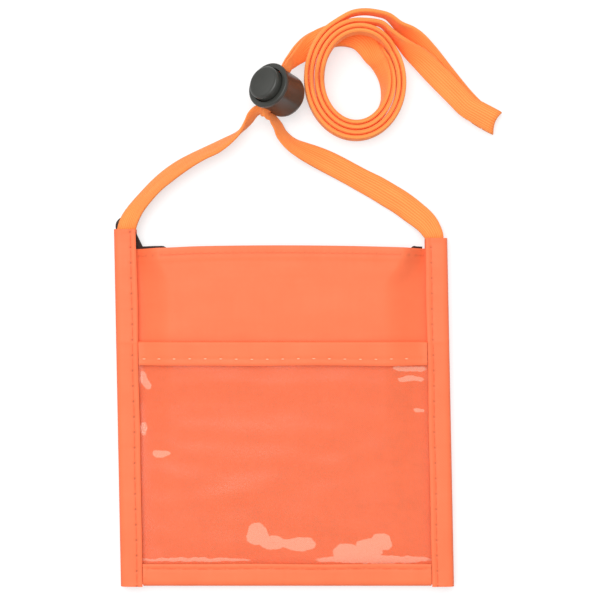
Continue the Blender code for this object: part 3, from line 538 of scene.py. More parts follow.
def spread(tree, source, low, high):
    """A value from 0 to 1 moved between two others."""
    return add(tree, "ShaderNodeMapRange", source, 0.0, 1.0, low, high).outputs[0]


def noise_node(tree, place, scale, detail=2.0):
    """Noise of the given scale over a place."""
    made = add(tree, "ShaderNodeTexNoise", place)
    feed(tree, made, Scale=scale, Detail=detail)
    return made


def drawn_noise(tree, place, stretch):
    """Noise drawn out into streaks."""
    drawn = add(tree, "ShaderNodeMapping", place)
    feed(tree, drawn, Scale=stretch)
    return noise_node(tree, drawn.outputs[0], scale=1.0).outputs["Fac"]


def new_group(name, inputs, outputs):
    """An empty node group with a vector and number inputs."""
    tree = bpy.data.node_groups.new(name, "ShaderNodeTree")
    tree.interface.new_socket(name="Vector", in_out="INPUT", socket_type="NodeSocketVector")
    for label, value in inputs:
        socket = tree.interface.new_socket(name=label, in_out="INPUT", socket_type="NodeSocketFloat")
        socket.default_value = value
    for label in outputs:
        tree.interface.new_socket(name=label, in_out="OUTPUT", socket_type="NodeSocketFloat")
    return tree, tree.nodes.new("NodeGroupInput"), tree.nodes.new("NodeGroupOutput")


def weave_group(name):
    """Plain weave: one bump for each thread that passes over, with uneven threads both ways."""
    tree, source, out = new_group(name, (("Pitch", 0.4), ("Streak", 0.5)), ("Height", "Tone"))
    split = add(tree, "ShaderNodeSeparateXYZ", source.outputs["Vector"])
    waves = []
    for axis in (0, 1):
        turns = calc(tree, "DIVIDE", split.outputs[axis], source.outputs["Pitch"])
        waves.append(calc(tree, "SINE", calc(tree, "MULTIPLY", turns, math.pi)))
    over = calc(tree, "MULTIPLY", waves[0], waves[1])
    streaks = [drawn_noise(tree, source.outputs["Vector"], stretch)
               for stretch in ((0.035, 1.5, 1.0), (1.5, 0.035, 1.0))]
    both = calc(tree, "MULTIPLY", calc(tree, "ADD", *streaks), 0.5)
    cloud = noise_node(tree, source.outputs["Vector"], scale=0.09, detail=4.0).outputs["Fac"]
    mixed = add(tree, "ShaderNodeMix", source.outputs["Streak"], None, cloud, both)
    clearer = add(tree, "ShaderNodeMapRange", mixed.outputs[0], 0.35, 0.65)
    feed(tree, out, Height=calc(tree, "MULTIPLY_ADD", over, 0.5, 0.5), Tone=clearer.outputs[0])
    return tree


def braid_group(name):
    """Flat braid: ridges along the cord, each a chain of slanting stitches, with a tone of painted shade in
    the grooves and the yarn's random tone.
    """
    tree, source, out = new_group(name, (("Ridge", 0.72), ("Stitch", 0.9)), ("Height", "Tone"))
    split = add(tree, "ShaderNodeSeparateXYZ", source.outputs["Vector"])
    across = calc(tree, "DIVIDE", split.outputs[0], source.outputs["Ridge"])
    ridge = calc(tree, "ABSOLUTE", calc(tree, "SINE", calc(tree, "MULTIPLY", across, math.pi)))
    slant = calc(tree, "ABSOLUTE", calc(tree, "SUBTRACT", calc(tree, "FRACT", across), 0.5))
    along = calc(tree, "DIVIDE", split.outputs[1], source.outputs["Stitch"])
    chain = calc(tree, "SINE", calc(tree, "MULTIPLY", calc(tree, "ADD", along, slant), math.tau))
    loops = calc(tree, "MULTIPLY_ADD", chain, 0.25, 0.75)
    raised = calc(tree, "MULTIPLY", ridge, calc(tree, "MULTIPLY_ADD", chain, 0.12, 0.88))
    yarn = drawn_noise(tree, source.outputs["Vector"], (0.5, 0.06, 1.0))
    # Tone: painted shade between ridges and stitches, with the yarn's real random tone.
    tone = calc(tree, "MULTIPLY_ADD", raised, 0.65, calc(tree, "MULTIPLY", yarn, 0.5))
    feed(tree, out, Height=calc(tree, "MULTIPLY", ridge, loops), Tone=tone)
    return tree


def grain_group(name):
    """Fine moulded grain with a slower unevenness."""
    tree, source, out = new_group(name, (("Scale", 3.0),), ("Height", "Tone"))
    fine = noise_node(tree, source.outputs["Vector"], scale=source.outputs["Scale"], detail=5.0)
    slow = noise_node(tree, source.outputs["Vector"], scale=0.25)
    feed(tree, out, Height=fine.outputs["Fac"], Tone=slow.outputs["Fac"])
    return tree


def patch_group(name):
    """One patch with a ragged, clear edge: 1 inside, 0 outside."""
    inputs = (("Middle X", 0.0), ("Middle Y", 0.0), ("Half X", 5.0), ("Half Y", 3.0))
    tree, source, out = new_group(name, inputs, ("Mask",))
    split = add(tree, "ShaderNodeSeparateXYZ", source.outputs["Vector"])
    shares = []
    for axis, label in enumerate("XY"):
        offset = calc(tree, "SUBTRACT", split.outputs[axis], source.outputs["Middle " + label])
        share = calc(tree, "DIVIDE", offset, source.outputs["Half " + label])
        shares.append(calc(tree, "POWER", calc(tree, "ABSOLUTE", share), 2.4))
    edge = add(tree, "ShaderNodeMapRange", calc(tree, "ADD", *shares), 0.9, 1.1, 1.0, 0.0)
    feed(tree, out, Mask=edge.outputs[0])
    return tree


NODE_GROUPS = {"plain weave": weave_group, "flat braid": braid_group, "fine grain": grain_group,
               "cling patch": patch_group}


def group_node(tree, name, vector, **values):
    """A shared group placed with its own values; it is built at its first use."""
    made = tree.nodes.new("ShaderNodeGroup")
    made.node_tree = bpy.data.node_groups.get(name) or NODE_GROUPS[name](name)
    feed(tree, made, Vector=vector, **values)
    return made


def new_material(name, roughness, metallic=0.0, specular=0.5):
    """A material, its node tree and its surface shader."""
    shade = bpy.data.materials.new(name)
    shade.use_nodes = True
    tree = shade.node_tree
    surface = tree.nodes["Principled BSDF"]
    feed(tree, surface, Roughness=roughness, Metallic=metallic, Specular_IOR_Level=specular)
    return shade, tree, surface


def own_map(tree):
    """The piece's own map, in mm."""
    return add(tree, "ShaderNodeUVMap", uv_map="map").outputs["UV"]


def object_mm(tree):
    """The piece's own coordinates, in mm."""
    place = tree.nodes.new("ShaderNodeTexCoord").outputs["Object"]
    made = add(tree, "ShaderNodeVectorMath", place, operation="SCALE")
    feed(tree, made, Scale=1 / MM)
    return made.outputs[0]


def raise_surface(tree, surface, height, depth, strength=1.0):
    """Fine relief from a height."""
    bump = tree.nodes.new("ShaderNodeBump")
    feed(tree, bump, Strength=strength, Distance=depth, Height=height)
    feed(tree, surface, Normal=bump.outputs["Normal"])


def painted_glow(tree, surface, colour, strength):
    """Painted light: a steady emission in the dye's colour, which keeps its shaded parts red."""
    feed(tree, surface, Emission_Color=(*colour, 1.0), Emission_Strength=strength)


def shaded(colour, share):
    """The colour made darker or lighter by a share."""
    return tuple(min(channel * share, 1.0) for channel in colour)


def cloth_material(name, colour, pitch, streak, depth, roughness):
    """Woven cloth with a coating: fine threads, soft tone, needle holes darkened by painted shade, and a
    painted emission.
    """
    shade, tree, surface = new_material(name, roughness, specular=0.35)
    weave = group_node(tree, "plain weave", own_map(tree), Pitch=pitch, Streak=streak)
    # Painted light: a faint emission that lifts the cloth's shaded parts toward red.
    painted_glow(tree, surface, (1.0, 0.12, 0.03), strength=0.06)
    base = tint(tree, weave.outputs["Tone"], shaded(colour, 0.95), shaded(colour, 1.045))
    raised = tint(tree, spread(tree, weave.outputs["Height"], 0.0, 0.22), base, shaded(colour, 0.8))
    # Painted shade in the needle holes, read from each sheet's layer.
    hole_shade = add(tree, "ShaderNodeAttribute", attribute_name="needle")
    holes = calc(tree, "MULTIPLY", hole_shade.outputs["Fac"], 0.85)
    feed(tree, surface, Base_Color=tint(tree, holes, raised, shaded(colour, 0.22)),
         Roughness=spread(tree, weave.outputs["Tone"], roughness + 0.06, roughness - 0.06))
    raise_surface(tree, surface, weave.outputs["Height"], depth)
    return shade


def film_material():
    """Clear film: faint tint and waves, with paler, glossier patches of painted highlight."""
    shade, tree, surface = new_material("clear window film", 0.16, specular=0.8)
    place = object_mm(tree)
    ragged = noise_node(tree, place, scale=0.27, detail=2.5)
    shift = add(tree, "ShaderNodeVectorMath", ragged.outputs["Color"], (0.5, 0.5, 0.5),
                operation="SUBTRACT")
    moved = add(tree, "ShaderNodeVectorMath", shift.outputs[0], (3.4, 1.8, 0.0), place,
                operation="MULTIPLY_ADD").outputs[0]
    mask = None
    for x, y, half_x, half_y in FILM_HIGHLIGHT_PATCHES:
        patch = group_node(tree, "cling patch", moved, Middle_X=x, Middle_Y=y, Half_X=half_x, Half_Y=half_y)
        here = patch.outputs["Mask"]
        mask = here if mask is None else calc(tree, "MAXIMUM", mask, here)
    grain = group_node(tree, "fine grain", place, Scale=0.5)
    faint = spread(tree, grain.outputs["Tone"], 0.1, 0.2)
    alpha = add(tree, "ShaderNodeMix", mask, None, faint, 0.15).outputs[0]
    # The patches' paler colour is painted highlight.
    feed(tree, surface, Base_Color=tint(tree, mask, dye("film"), dye("cling")), Alpha=alpha,
         Roughness=spread(tree, mask, 0.2, 0.08))
    raise_surface(tree, surface, grain.outputs["Height"], depth=0.1 * MM, strength=0.25)
    return shade


def braid_material():
    """Soft flat braid with a faint sheen, painted shade in its grooves and a painted emission."""
    shade, tree, surface = new_material("orange braid", 0.68, specular=0.3)
    knit = group_node(tree, "flat braid", own_map(tree), Ridge=0.74, Stitch=0.95)
    # Base colour: painted shade in the grooves, the braid's own colour on the ridges.
    feed(tree, surface, Sheen_Weight=0.25, Sheen_Roughness=0.4, Sheen_Tint=(1.0, 0.86, 0.6, 1.0),
         Base_Color=tint(tree, knit.outputs["Tone"], dye("braid_groove_shade"), dye("braid")))
    # Painted light: emission that lifts the grooves and shaded turns toward red.
    painted_glow(tree, surface, (1.0, 0.13, 0.01), strength=0.14)
    raise_surface(tree, surface, knit.outputs["Height"], depth=0.16 * MM, strength=0.8)
    return shade


def zip_cloth_material():
    """Black woven tape, its ridges lightened by painted highlight."""
    shade, tree, surface = new_material("black zip tape", 0.75, specular=0.3)
    knit = group_node(tree, "flat braid", own_map(tree), Ridge=1.1, Stitch=0.8)
    black = dye("zip_black")
    # Painted highlight on the tape's ridges, with the yarn's random tone.
    feed(tree, surface, Base_Color=tint(tree, knit.outputs["Tone"], black, shaded(black, 2.4)))
    raise_surface(tree, surface, knit.outputs["Height"], depth=0.12 * MM, strength=0.7)
    return shade


def hard_material(name, colour, roughness, metallic, scale, depth):
    """Moulded plastic, nylon, lacquer or steel: a fine grain over a slow change of gloss."""
    shade, tree, surface = new_material(name, roughness, metallic)
    grain = group_node(tree, "fine grain", object_mm(tree), Scale=scale)
    tone = grain.outputs["Tone"]
    feed(tree, surface, Base_Color=tint(tree, tone, shaded(colour, 0.85), shaded(colour, 1.18)),
         Roughness=spread(tree, tone, roughness - 0.08, roughness + 0.08))
    raise_surface(tree, surface, grain.outputs["Height"], depth, strength=0.5)
    return shade


def make_stage():
    """Camera over the wallet, white floor, one large soft lamp and an even surround."""
    settings = bpy.context.scene.wallet_stage
    lens = bpy.data.cameras.new("camera")
    lens.lens = settings.lens
    lens.sensor_width = SENSOR
    camera = new_object("camera", lens)
    x, y, z = settings.centre
    camera.location = (x, y, z + settings.lens / SENSOR * settings.field)
    bpy.context.scene.camera = camera
    bpy.context.scene.view_settings.view_transform = "Standard"
    form = bmesh.new()
    bmesh.ops.create_grid(form, x_segments=1, y_segments=1, size=FLOOR_HALF)
    shade, tree, surface = new_material("white floor", 0.9, specular=0.1)
    level = settings.floor
    seen = add(tree, "ShaderNodeLightPath")
    direct = calc(tree, "MAXIMUM", seen.outputs["Is Camera Ray"],
                  calc(tree, "MAXIMUM", seen.outputs["Is Glossy Ray"], seen.outputs["Is Transmission Ray"]))
    feed(tree, surface, Base_Color=(level, level, level, 1.0), Emission_Color=(1.0, 1.0, 1.0, 1.0),
         Emission_Strength=calc(tree, "MULTIPLY", direct, FLOOR_SEEN - level))
    floor = finish_piece("floor", form, shade)
    lamp = bpy.data.lights.new("key lamp", "AREA")
    lamp.energy = settings.key
    lamp.shape = "DISK"
    lamp.size = LAMP_SIZE
    key = new_object("key lamp", lamp)
    key.location = (x + LAMP_SHIFT[0], y + LAMP_SHIFT[1], LAMP_HEIGHT)
    key.rotation_euler = (Vector((x, y, 0)) - key.location).to_track_quat("-Z", "Y").to_euler()
    world = bpy.data.worlds.new("surround")
    world.use_nodes = True
    tree = world.node_tree
    seen = add(tree, "ShaderNodeLightPath")
    feed(tree, tree.nodes["Background"], Color=(1.0, 1.0, 1.0, 1.0),
         Strength=spread(tree, seen.outputs["Is Camera Ray"], settings.fill, 1.0))
    bpy.context.scene.world = world


def lock_place():
    """The lock lies tipped over, its rounded foot on the surface."""
    sunk = (BARREL_RADIUS - BARREL_ROUND) * math.sin(LOCK_TILT) + BARREL_ROUND * (1 - math.cos(LOCK_TILT))
    turn = Matrix.Rotation(LOCK_AZIMUTH, 4, "Z") @ Matrix.Rotation(LOCK_TILT, 4, "Y")
    return Matrix.Translation((*LOCK_PLACE, sunk)) @ turn


def half_height(roll, layers):
    """Half the height of a cord, or of two lying face to face, at its roll."""
    stack = CORD_THICKNESS + (layers - 1) * CORD_PITCH
    return (CORD_WIDTH * abs(math.sin(roll)) + stack * abs(math.cos(roll))) / 2


def in_metres(route, layers=1):
    """The route's points at the middle of the cord, or of so many layers of it."""
    points = []
    for x, y, low, roll, width in route:
        roll = math.radians(roll)
        half = half_height(roll, layers) * width
        points.append((x * MM, y * MM, low * MM + half + CORD_LIFT, roll, width))
    return points


def lock_run(place):
    """The cord's straight way through the lock's cross hole, pinched narrow."""
    points = []
    for share in LOCK_RUN_SHARES:
        spot = place @ Vector((0, -share * BARREL_RADIUS, HOLE_Z))
        points.append((*spot, math.pi / 2 - LOCK_TILT, PINCH_SHARE))
    return points


def coil_route():
    """Clockwise turns, with a long low hump where they pass over the start."""
    points = []
    count = round(COIL_POINTS * COIL_TURNS)
    for k in range(count + 1):
        swept = math.tau * COIL_TURNS * k / count
        angle = COIL_START - swept
        out = swept / math.tau
        tuck = COIL_TUCK * max(1 - swept / COIL_SETTLE, 0.0)
        x = (COIL_HALF_WIDTH + COIL_STEP * out - tuck) * math.cos(angle)
        y = (COIL_HALF_LENGTH + COIL_STEP * out - tuck) * math.sin(angle)
        place = math.atan2(y, x) % math.tau
        rise = HUMP_HEIGHT * smoothstep(HUMP_FLAT_SHARE * (1 - abs(place - HUMP_PLACE) / HUMP_RUN))
        roll = COIL_START_ROLL + (math.pi / 2 - COIL_START_ROLL) * min(swept / COIL_SETTLE, 1.0)
        z = CORD_REST + half_height(roll, 2) + rise
        points.append((COIL_CENTRE[0] * MM + x, COIL_CENTRE[1] * MM + y, z, roll, 1.0))
    return points


def beside(route, hand):
    """One strand of the pair: hand -1 runs on the left, half a turn round, and 1 on the right."""
    strand = []
    for k, (x, y, z, roll, width) in enumerate(route):
        before, after = route[max(k - 1, 0)], route[min(k + 1, len(route) - 1)]
        run = (Vector(after[:3]) - Vector(before[:3])).normalized()
        right = Vector((run.y, -run.x, 0)).normalized()
        face = right.cross(run) * math.cos(roll) + right * math.sin(roll)
        spot = Vector((x, y, z)) + face * CORD_PITCH / 2 * width * hand
        strand.append((*spot, roll - math.pi * (hand < 0), width))
    return strand


def smooth_path(points, step):
    """A smooth curve through the points, read off at even steps, and its length."""
    dense = []
    for k in range(len(points) - 1):
        p0, p1 = points[max(k - 1, 0)], points[k]
        p2, p3 = points[k + 1], points[min(k + 2, len(points) - 1)]
        for j in range(CURVE_STEPS):
            t = j / CURVE_STEPS
            dense.append([0.5 * (2 * b + (c - a) * t + (2 * a - 5 * b + 4 * c - d) * t * t
                                 + (3 * b - a - 3 * c + d) * t ** 3)
                          for a, b, c, d in zip(p0, p1, p2, p3)])
    dense.append(list(points[-1]))
    lengths = [0.0]
    for one, two in zip(dense, dense[1:]):
        lengths.append(lengths[-1] + math.dist(one[:3], two[:3]))
    total = lengths[-1]
    count = max(round(total / step), 2)
    path, k = [], 0
    for i in range(count + 1):
        want = total * i / count
        while k < len(lengths) - 2 and lengths[k + 1] < want:
            k += 1
        share = (want - lengths[k]) / (lengths[k + 1] - lengths[k])
        path.append([a + (b - a) * share for a, b in zip(dense[k], dense[k + 1])])
    return path, total


def fold_route(upper, lower, ahead):
    """The loop's folded end: the upper strand turns down and back to the lower one's end."""
    top, under = Vector(upper[:3]), Vector(lower[:3]) + ahead * FOLD_LAP
    centre, half = (top + under) / 2, (under - top) / 2
    points = []
    for k in range(1, FOLD_POINTS + 1):
        angle = math.pi * k / FOLD_POINTS
        place = centre - half * math.cos(angle) + ahead * half.length * math.sin(angle)
        points.append((*place, *upper[3:]))
    for left in (2 * FOLD_LAP / 3, FOLD_LAP / 3, END_GAP):
        points.append((*(Vector(lower[:3]) + ahead * left), *upper[3:]))
    return points


def braid_section(share):
    """Across and up shares of the flat braid's section at a share of its way round."""
    turn = math.tau * share
    across, up = math.cos(turn), math.sin(turn)
    return across, math.copysign(abs(up) ** BRAID_SQUARENESS, up)


def cord_form(path, total, crease, ahead):
    """The flat braid along a path of places, rolls and widths; its sides reach forward at the crease."""
    frames, right = [], None
    rows = len(path) - 1
    for k, (x, y, z, roll, width) in enumerate(path):
        before, after = path[max(k - 1, 0)], path[min(k + 1, rows)]
        run = (Vector(after[:3]) - Vector(before[:3])).normalized()
        level = Vector((run.y, -run.x, 0))
        if right is None or level.dot(right) > LEVEL_LEAST:
            right = level.normalized()
        up = right.cross(run)
        face = up * math.cos(roll) + right * math.sin(roll)
        side = right * math.cos(roll) - up * math.sin(roll)
        near = max(1 - abs(total * k / rows - crease) / FOLD_REACH, 0.0)
        frames.append((Vector((x, y, z)), side * CORD_WIDTH / 2 * width, face * CORD_FULLNESS / 2 * width,
                       ahead * FOLD_CORNERS * near ** 2))

    def place(u, v):
        spot, side, face, forward = frames[round(v * rows)]
        across, up = braid_section(u % 1.0)
        return spot + side * across + face * up + forward * across ** 2

    around = 2 * (CORD_WIDTH + CORD_FULLNESS)
    return tube_form((CORD_SIDES, rows), (around, total), place)


def make_cords():
    """Two runs of one braid, from the side bindings through the lock and the coil to the folded end."""
    shade = braid_material()
    pair = lock_run(lock_place()) + in_metres(PAIR_ROUTE, 2) + coil_route()
    left, right = beside(pair, -1), beside(pair, 1)
    left_tail, right_tail = in_metres(LEFT_TAIL), in_metres(RIGHT_TAIL)
    left_tail = [(*point[:3], point[3] - math.pi, point[4]) for point in left_tail]
    ahead = Vector(right_tail[-1][:3]) - Vector(right_tail[-2][:3])
    ahead = Vector((ahead.x, ahead.y, 0)).normalized()
    fold = fold_route(right_tail[-1], left_tail[-1], ahead)
    left = in_metres(LEFT_ROUTE) + left[:-LEFT_TAIL_START] + left_tail
    right = in_metres(RIGHT_ROUTE) + right[:-RIGHT_TAIL_START] + right_tail + fold
    folded = FOLD_LAP + math.pi / 2 * (right_tail[-1][2] - left_tail[-1][2]) / 2
    nodes = (("cord_left_strand", "cord_left_coil"), ("cord_right_strand", "cord_right_coil", "cord_fold"))
    jobs = zip(("neck_cord_left", "neck_cord_right"), (left, right), (-folded, folded), nodes)
    for name, run, beyond, stood_for in jobs:
        path, total = smooth_path(run, CORD_STEP)
        piece = finish_piece(name, cord_form(path, total, total - beyond, ahead), shade, CORD_SHARP)
        wallet_piece(piece, "cord", *stood_for)
        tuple(path[0][:3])


def make_panels():
    """Front and back of the pouch in coated cloth; the front's top edge is hemmed."""
    shade = cloth_material("orange coated cloth", dye("cloth"), pitch=0.42, streak=0.55, depth=0.05 * MM,
                           roughness=0.56)
    low = BASE_Y + SETBACK
    half = HALF_WIDTH - SETBACK

    def front(u, v):
        x = (2 * u - 1) * half
        y = low + (panel_top(x) - low) * v
        under = panel_top(x) - y
        depth, dark = seam(under - HEM_SEAM, x, sizes().hem_pitch)
        rise = HEM_RISE * smoothstep((HEM - under) / HEM_RUN) - depth * HEM_GROOVE_SHARE
        rise -= EDGE_FALL * math.exp(-(under / EDGE_RUN) ** 2)
        fine = uneven(x, y, *FRONT_GRAIN)
        # The hem's needle holes take part of the painted shade.
        return on_wallet(x, y, front_low(x, y) + CLOTH / 2 + rise + fine), dark * HEM_HOLE_SHADE_SHARE

    tall = panel_top(0) - low
    piece = finish_piece("front_cloth", sheet_form(FRONT_GRID, (2 * half, tall), front, CLOTH), shade)
    wallet_piece(piece, "cloth", "front_panel")

    top = BACK_HIGH.y

    def back(u, v):
        x = (2 * u - 1) * half
        y = low + (top - low) * v
        inside = smoothstep((INNER_HALF - abs(x)) / CROWN_BLEND)
        bend = (uneven(x, y, *BACK_WAVE) - BACK_SINK) * inside
        return on_wallet(x, y, BACK_LOW.z + CLOTH / 2 + bend), 0.0

    piece = finish_piece("back_cloth", sheet_form(BACK_GRID, (2 * half, top - low), back, CLOTH), shade)
    wallet_piece(piece, "cloth", "back_panel")


def make_window():
    """The clear film over the lower front."""
    low, high = BASE_Y + SETBACK, WINDOW_TOP - STRIP_TAPE - GAP
    half = HALF_WIDTH - SETBACK

    def film(u, v):
        x = (2 * u - 1) * half
        y = low + (high - low) * v
        return on_wallet(x, y, window_low(x, y) + VINYL / 2 + uneven(x, y, *FILM_WAVE)), 0.0

    piece = finish_piece("window_film", sheet_form(FILM_GRID, (2 * half, high - low), film, VINYL),
                         film_material())
    wallet_piece(piece, "window_vinyl", "window_sheet")


def fold_profile(way, width, height, tape):
    """Inset and height of a folded tape's middle surface, at a way from its lower inner edge."""
    outer = height / 2
    bend = outer - tape / 2
    leg = width - outer
    if way < leg:
        return width - way, tape / 2
    if way > leg + math.pi * bend:
        return outer + way - leg - math.pi * bend, height - tape / 2
    turn = (way - leg) / bend - math.pi / 2
    return (outer - bend * math.cos(turn) ** TAPE_SQUARENESS,
            outer + bend * math.copysign(abs(math.sin(turn)) ** TAPE_SQUARENESS, turn))


def cut_width(width, height, tape, across, steps=240):
    """Length of the folded profile: the width that the tape was cut to."""
    spots = [Vector(fold_profile(across * k / steps, width, height, tape)) for k in range(steps + 1)]
    return sum((after - before).length for before, after in zip(spots, spots[1:]))


def folded_tape(name, shade, node, width, height, tape, inset, start, end, hole_shade_share, ridges, holds,
                locate):
    """A tape folded round an edge and sewn through near its inner edges."""
    outer = height / 2
    across = 2 * (width - outer) + math.pi * (outer - tape / 2)
    pitch = sizes().stitch_pitch

    def place(u, v):
        way = across * u
        along = start + (end - start) * v
        deep, z = fold_profile(way, width, height, tape)
        line = deep - (width - inset) + wander(along)
        depth, dark = seam(line, along, pitch)
        upper = 1 if z > outer else -1
        lip = LIP_RISE * smoothstep((line - LIP_START) / LIP_RUN)
        rim = RIM_FALL * smoothstep((deep - width + RIM_RUN) / RIM_RUN)
        ends = min(abs(along - start), abs(end - along))
        turned = TURNED_RISE * smoothstep((TURNED_DEPTH - ends) / TURNED_RUN)
        shift = (lip - rim - depth + turned) if upper > 0 else max(depth + rim - turned, 0.0)
        if deep < outer:
            shift = 0.0
        fine = uneven(along, deep, *TAPE_GRAIN) if upper > 0 else 0.0
        if upper > 0:
            fine += sum(RIDGE_RISE * math.exp(-((along - ridge) / RIDGE_HALF) ** 2) for ridge in ridges)
        edge = uneven(along, 0, *TAPE_EDGE)
        edge *= smoothstep((deep - width + EDGE_WANDER_RUN) / EDGE_WANDER_RUN)
        # Painted shade in the needle holes, scaled for each tape.
        return locate(deep + edge, z + shift + fine, along), dark * hole_shade_share

    grid = (round(across / TAPE_STEP_ACROSS), round((end - start) / TAPE_STEP_ALONG))
    form = sheet_form(grid, (across, end - start), place, tape)
    piece = finish_piece(name, form, shade)
    wallet_piece(piece, "binding", node)
    cut = cut_width(width, height, tape, across)
    list(holds)


def sew(name, shade, pitch, start, end, line, share=STITCH_SHARES, fullness=1.0):
    """Threads along a seam: one slim rounded stitch between each two needle holes."""
    form = bmesh.new()
    thread = sizes().thread * fullness
    first, last = math.ceil(start / pitch), math.floor(end / pitch)
    for k in range(first, last):
        for spot_a, spot_b in line((k + share[0]) * pitch, (k + share[1]) * pitch):
            run = spot_b - spot_a
            turn = run.to_track_quat("X", "Z").to_matrix().to_4x4()
            shape = Matrix.Diagonal((run.length / 2, thread / 2, thread / 2, 1.0))
            bmesh.ops.create_uvsphere(form, u_segments=8, v_segments=5, radius=1.0,
                                      matrix=Matrix.Translation((spot_a + spot_b) / 2) @ turn @ shape)
    wallet_piece(finish_piece(name, form, shade), "binding")


def make_bindings():
    """The bound sides, the bound bottom and the strip along the window's top, with their stitches."""
    shade = cloth_material("orange binding tape", dye("tape"), pitch=0.5, streak=0.4, depth=0.04 * MM,
                           roughness=0.58)
    twist = {"pitch": 0.2, "streak": 0.2, "depth": 0.02 * MM, "roughness": 0.6}
    thread = cloth_material("orange thread", shaded(dye("tape"), 0.8), **twist)
    pale = cloth_material("pale thread", dye("pale_thread"), **twist)
    options = sizes()
    half = options.thread / 2

    def side_place(side):
        return lambda deep, z, along: on_wallet(side * (HALF_WIDTH - deep), along, z)

    def bottom_place(deep, z, along):
        return on_wallet(along, BASE_Y + deep, z)

    def strip_place(deep, z, along):
        y = WINDOW_TOP - deep
        return on_wallet(along, y, front_low(along, y) + CLOTH + GAP + z)

    def seam_line(locate, width, inset, height, both):
        """Rule for a stitch's two ends, on the upper face and where asked on the lower one."""
        def line(one, two):
            ends = []
            seats = (height - half * THREAD_SEAT_SHARE, half * THREAD_UNDER_SHARE)
            for z in seats if both else seats[:1]:
                ends.append([locate(width - inset - wander(spot), z, spot) for spot in (one, two)])
            return ends
        return line

    panels, window = ("front_cloth", "back_cloth"), ("window_film", "front_cloth")
    side = (SIDE_WIDTH, SIDE_TOP, TAPE, options.side_seam, BASE_Y)
    base = (BOTTOM_WIDTH, SIDE_TOP, TAPE, options.bottom_seam, GAP - INNER_HALF, INNER_HALF - GAP)
    strip = (STRIP_WIDTH, STRIP_HEIGHT, STRIP_TAPE, options.strip_seam, GAP - INNER_HALF, INNER_HALF - GAP)
    # Each tape: name, part, place rule, measures, share of painted shade in its needle holes, and places of
    # ridges over what lies beneath.
    tapes = (
        ("left_binding", "left_side_binding", side_place(-1), (*side, TOP_Y), 1.0, (WINDOW_TOP,)),
        ("right_binding", "right_side_binding", side_place(1), (*side, RIGHT_TOP_Y), 0.8, (WINDOW_TOP,)),
        ("bottom_binding", "bottom_binding", bottom_place, base, 0.35, ()),
        ("window_strip", "window_top_binding", strip_place, strip, 0.0, ()))
    for name, node, locate, measures, dark, ridges in tapes:
        width, height, _, inset, start, end = measures
        both = name != "window_strip"
        holds, yarn, share, fullness = panels, thread, STITCH_SHARES, 1.0
        if not both:
            holds, yarn, share, fullness = window, pale, DOT_SHARES, DOT_FULLNESS
        folded_tape(name + "_tape", shade, node, *measures, dark, ridges, holds, locate)
        sew(name + "_stitches", yarn, options.stitch_pitch, start, end,
            seam_line(locate, width, inset, height, both), share, fullness)

    def hem_line(one, two):
        y = panel_top((one + two) / 2) - HEM_SEAM
        return [[on_wallet(x, y, front_low(x, y) + CLOTH + HEM_THREAD_SEAT) for x in (one, two)]]

    sew("hem_stitches", thread, options.hem_pitch, -INNER_HALF, INNER_HALF, hem_line)


def chain_y(x):
    """The zip runs straight inside the mouth and comes out to the edge at its ends."""
    start = FLARE_START if x < 0 else FLARE_START_RIGHT
    return CHAIN_Y + ZIP_FLARE * smoothstep((abs(x) - TEETH_HALF - start) / FLARE_RUN)


def make_zip_tapes():
    """Both woven tapes and the tape's end, folded up out of the mouth."""
    shade = zip_cloth_material()
    half = TEETH_HALF + ZIP_END
    for name, side in (("front", 1), ("back", -1)):
        def place(u, v, side=side):
            x = (2 * v - 1) * half
            y, inner = chain_y(x), CHAIN_Y - ZIP_LEG
            roof, floor = front_low(x, y) - GAP, BACK_HIGH.z + GAP
            middle = (roof + floor) / 2
            reach = min(TAPE_REACH, (roof - floor) / 2 - ZIP_TAPE - GAP)
            seat = roof - ZIP_TAPE / 2 if side > 0 else floor + ZIP_TAPE / 2
            seat_in = front_low(x, inner) - GAP - ZIP_TAPE / 2 if side > 0 else seat
            edge = middle + side * reach
            shift = LEAN_SHARE * (CHAIN_Y - MIDDLE_Y)
            if u < ZIP_LEG_SHARE:
                share = u / ZIP_LEG_SHARE
                z = seat_in + (seat - seat_in) * share
                return Vector((x + shift, inner + (y - inner) * share, z)), 0.0
            rest = (u - ZIP_LEG_SHARE) / (1 - ZIP_LEG_SHARE)
            return Vector((x + shift, y, seat + (edge - seat) * rest)), 0.0

        across = ZIP_LEG + TAPE_REACH
        form = sheet_form(ZIP_GRID, (across, 2 * half), place, ZIP_TAPE)
        piece = finish_piece(f"{name}_zip_cloth", form, shade)
        wallet_piece(piece, "zip_tape", f"zip_tape_{name}")
    along = Vector((math.cos(TAIL_TURN), math.sin(TAIL_TURN), 0))
    across = Vector((-along.y, along.x, 0))
    centre = Vector((leaned(TAIL_INSET - HALF_WIDTH, TOP_Y) - TAIL_SHIFT, TAIL_BOX_HIGH.y - TAIL_HALF,
                     (TAIL_BOX_LOW.z + TAIL_BOX_HIGH.z) / 2))

    def tongue(u, v):
        reach = -TAIL_LENGTH + (TAIL_LENGTH + TAIL_HALF * TAIL_ROUND_SHARE) * v
        width = TAIL_HALF if reach < 0 else math.sqrt(TAIL_HALF ** 2 - reach ** 2)
        inner = width * TAIL_INNER / TAIL_HALF
        return centre + along * reach + across * (u * (width + inner) - inner), 0.0

    form = sheet_form(TAIL_GRID, (2 * TAIL_HALF, TAIL_LENGTH + TAIL_HALF), tongue, TAIL_TAPE)
    wallet_piece(finish_piece("zip_cloth_tail", form, shade), "zip_tape", "zip_tape_tail")


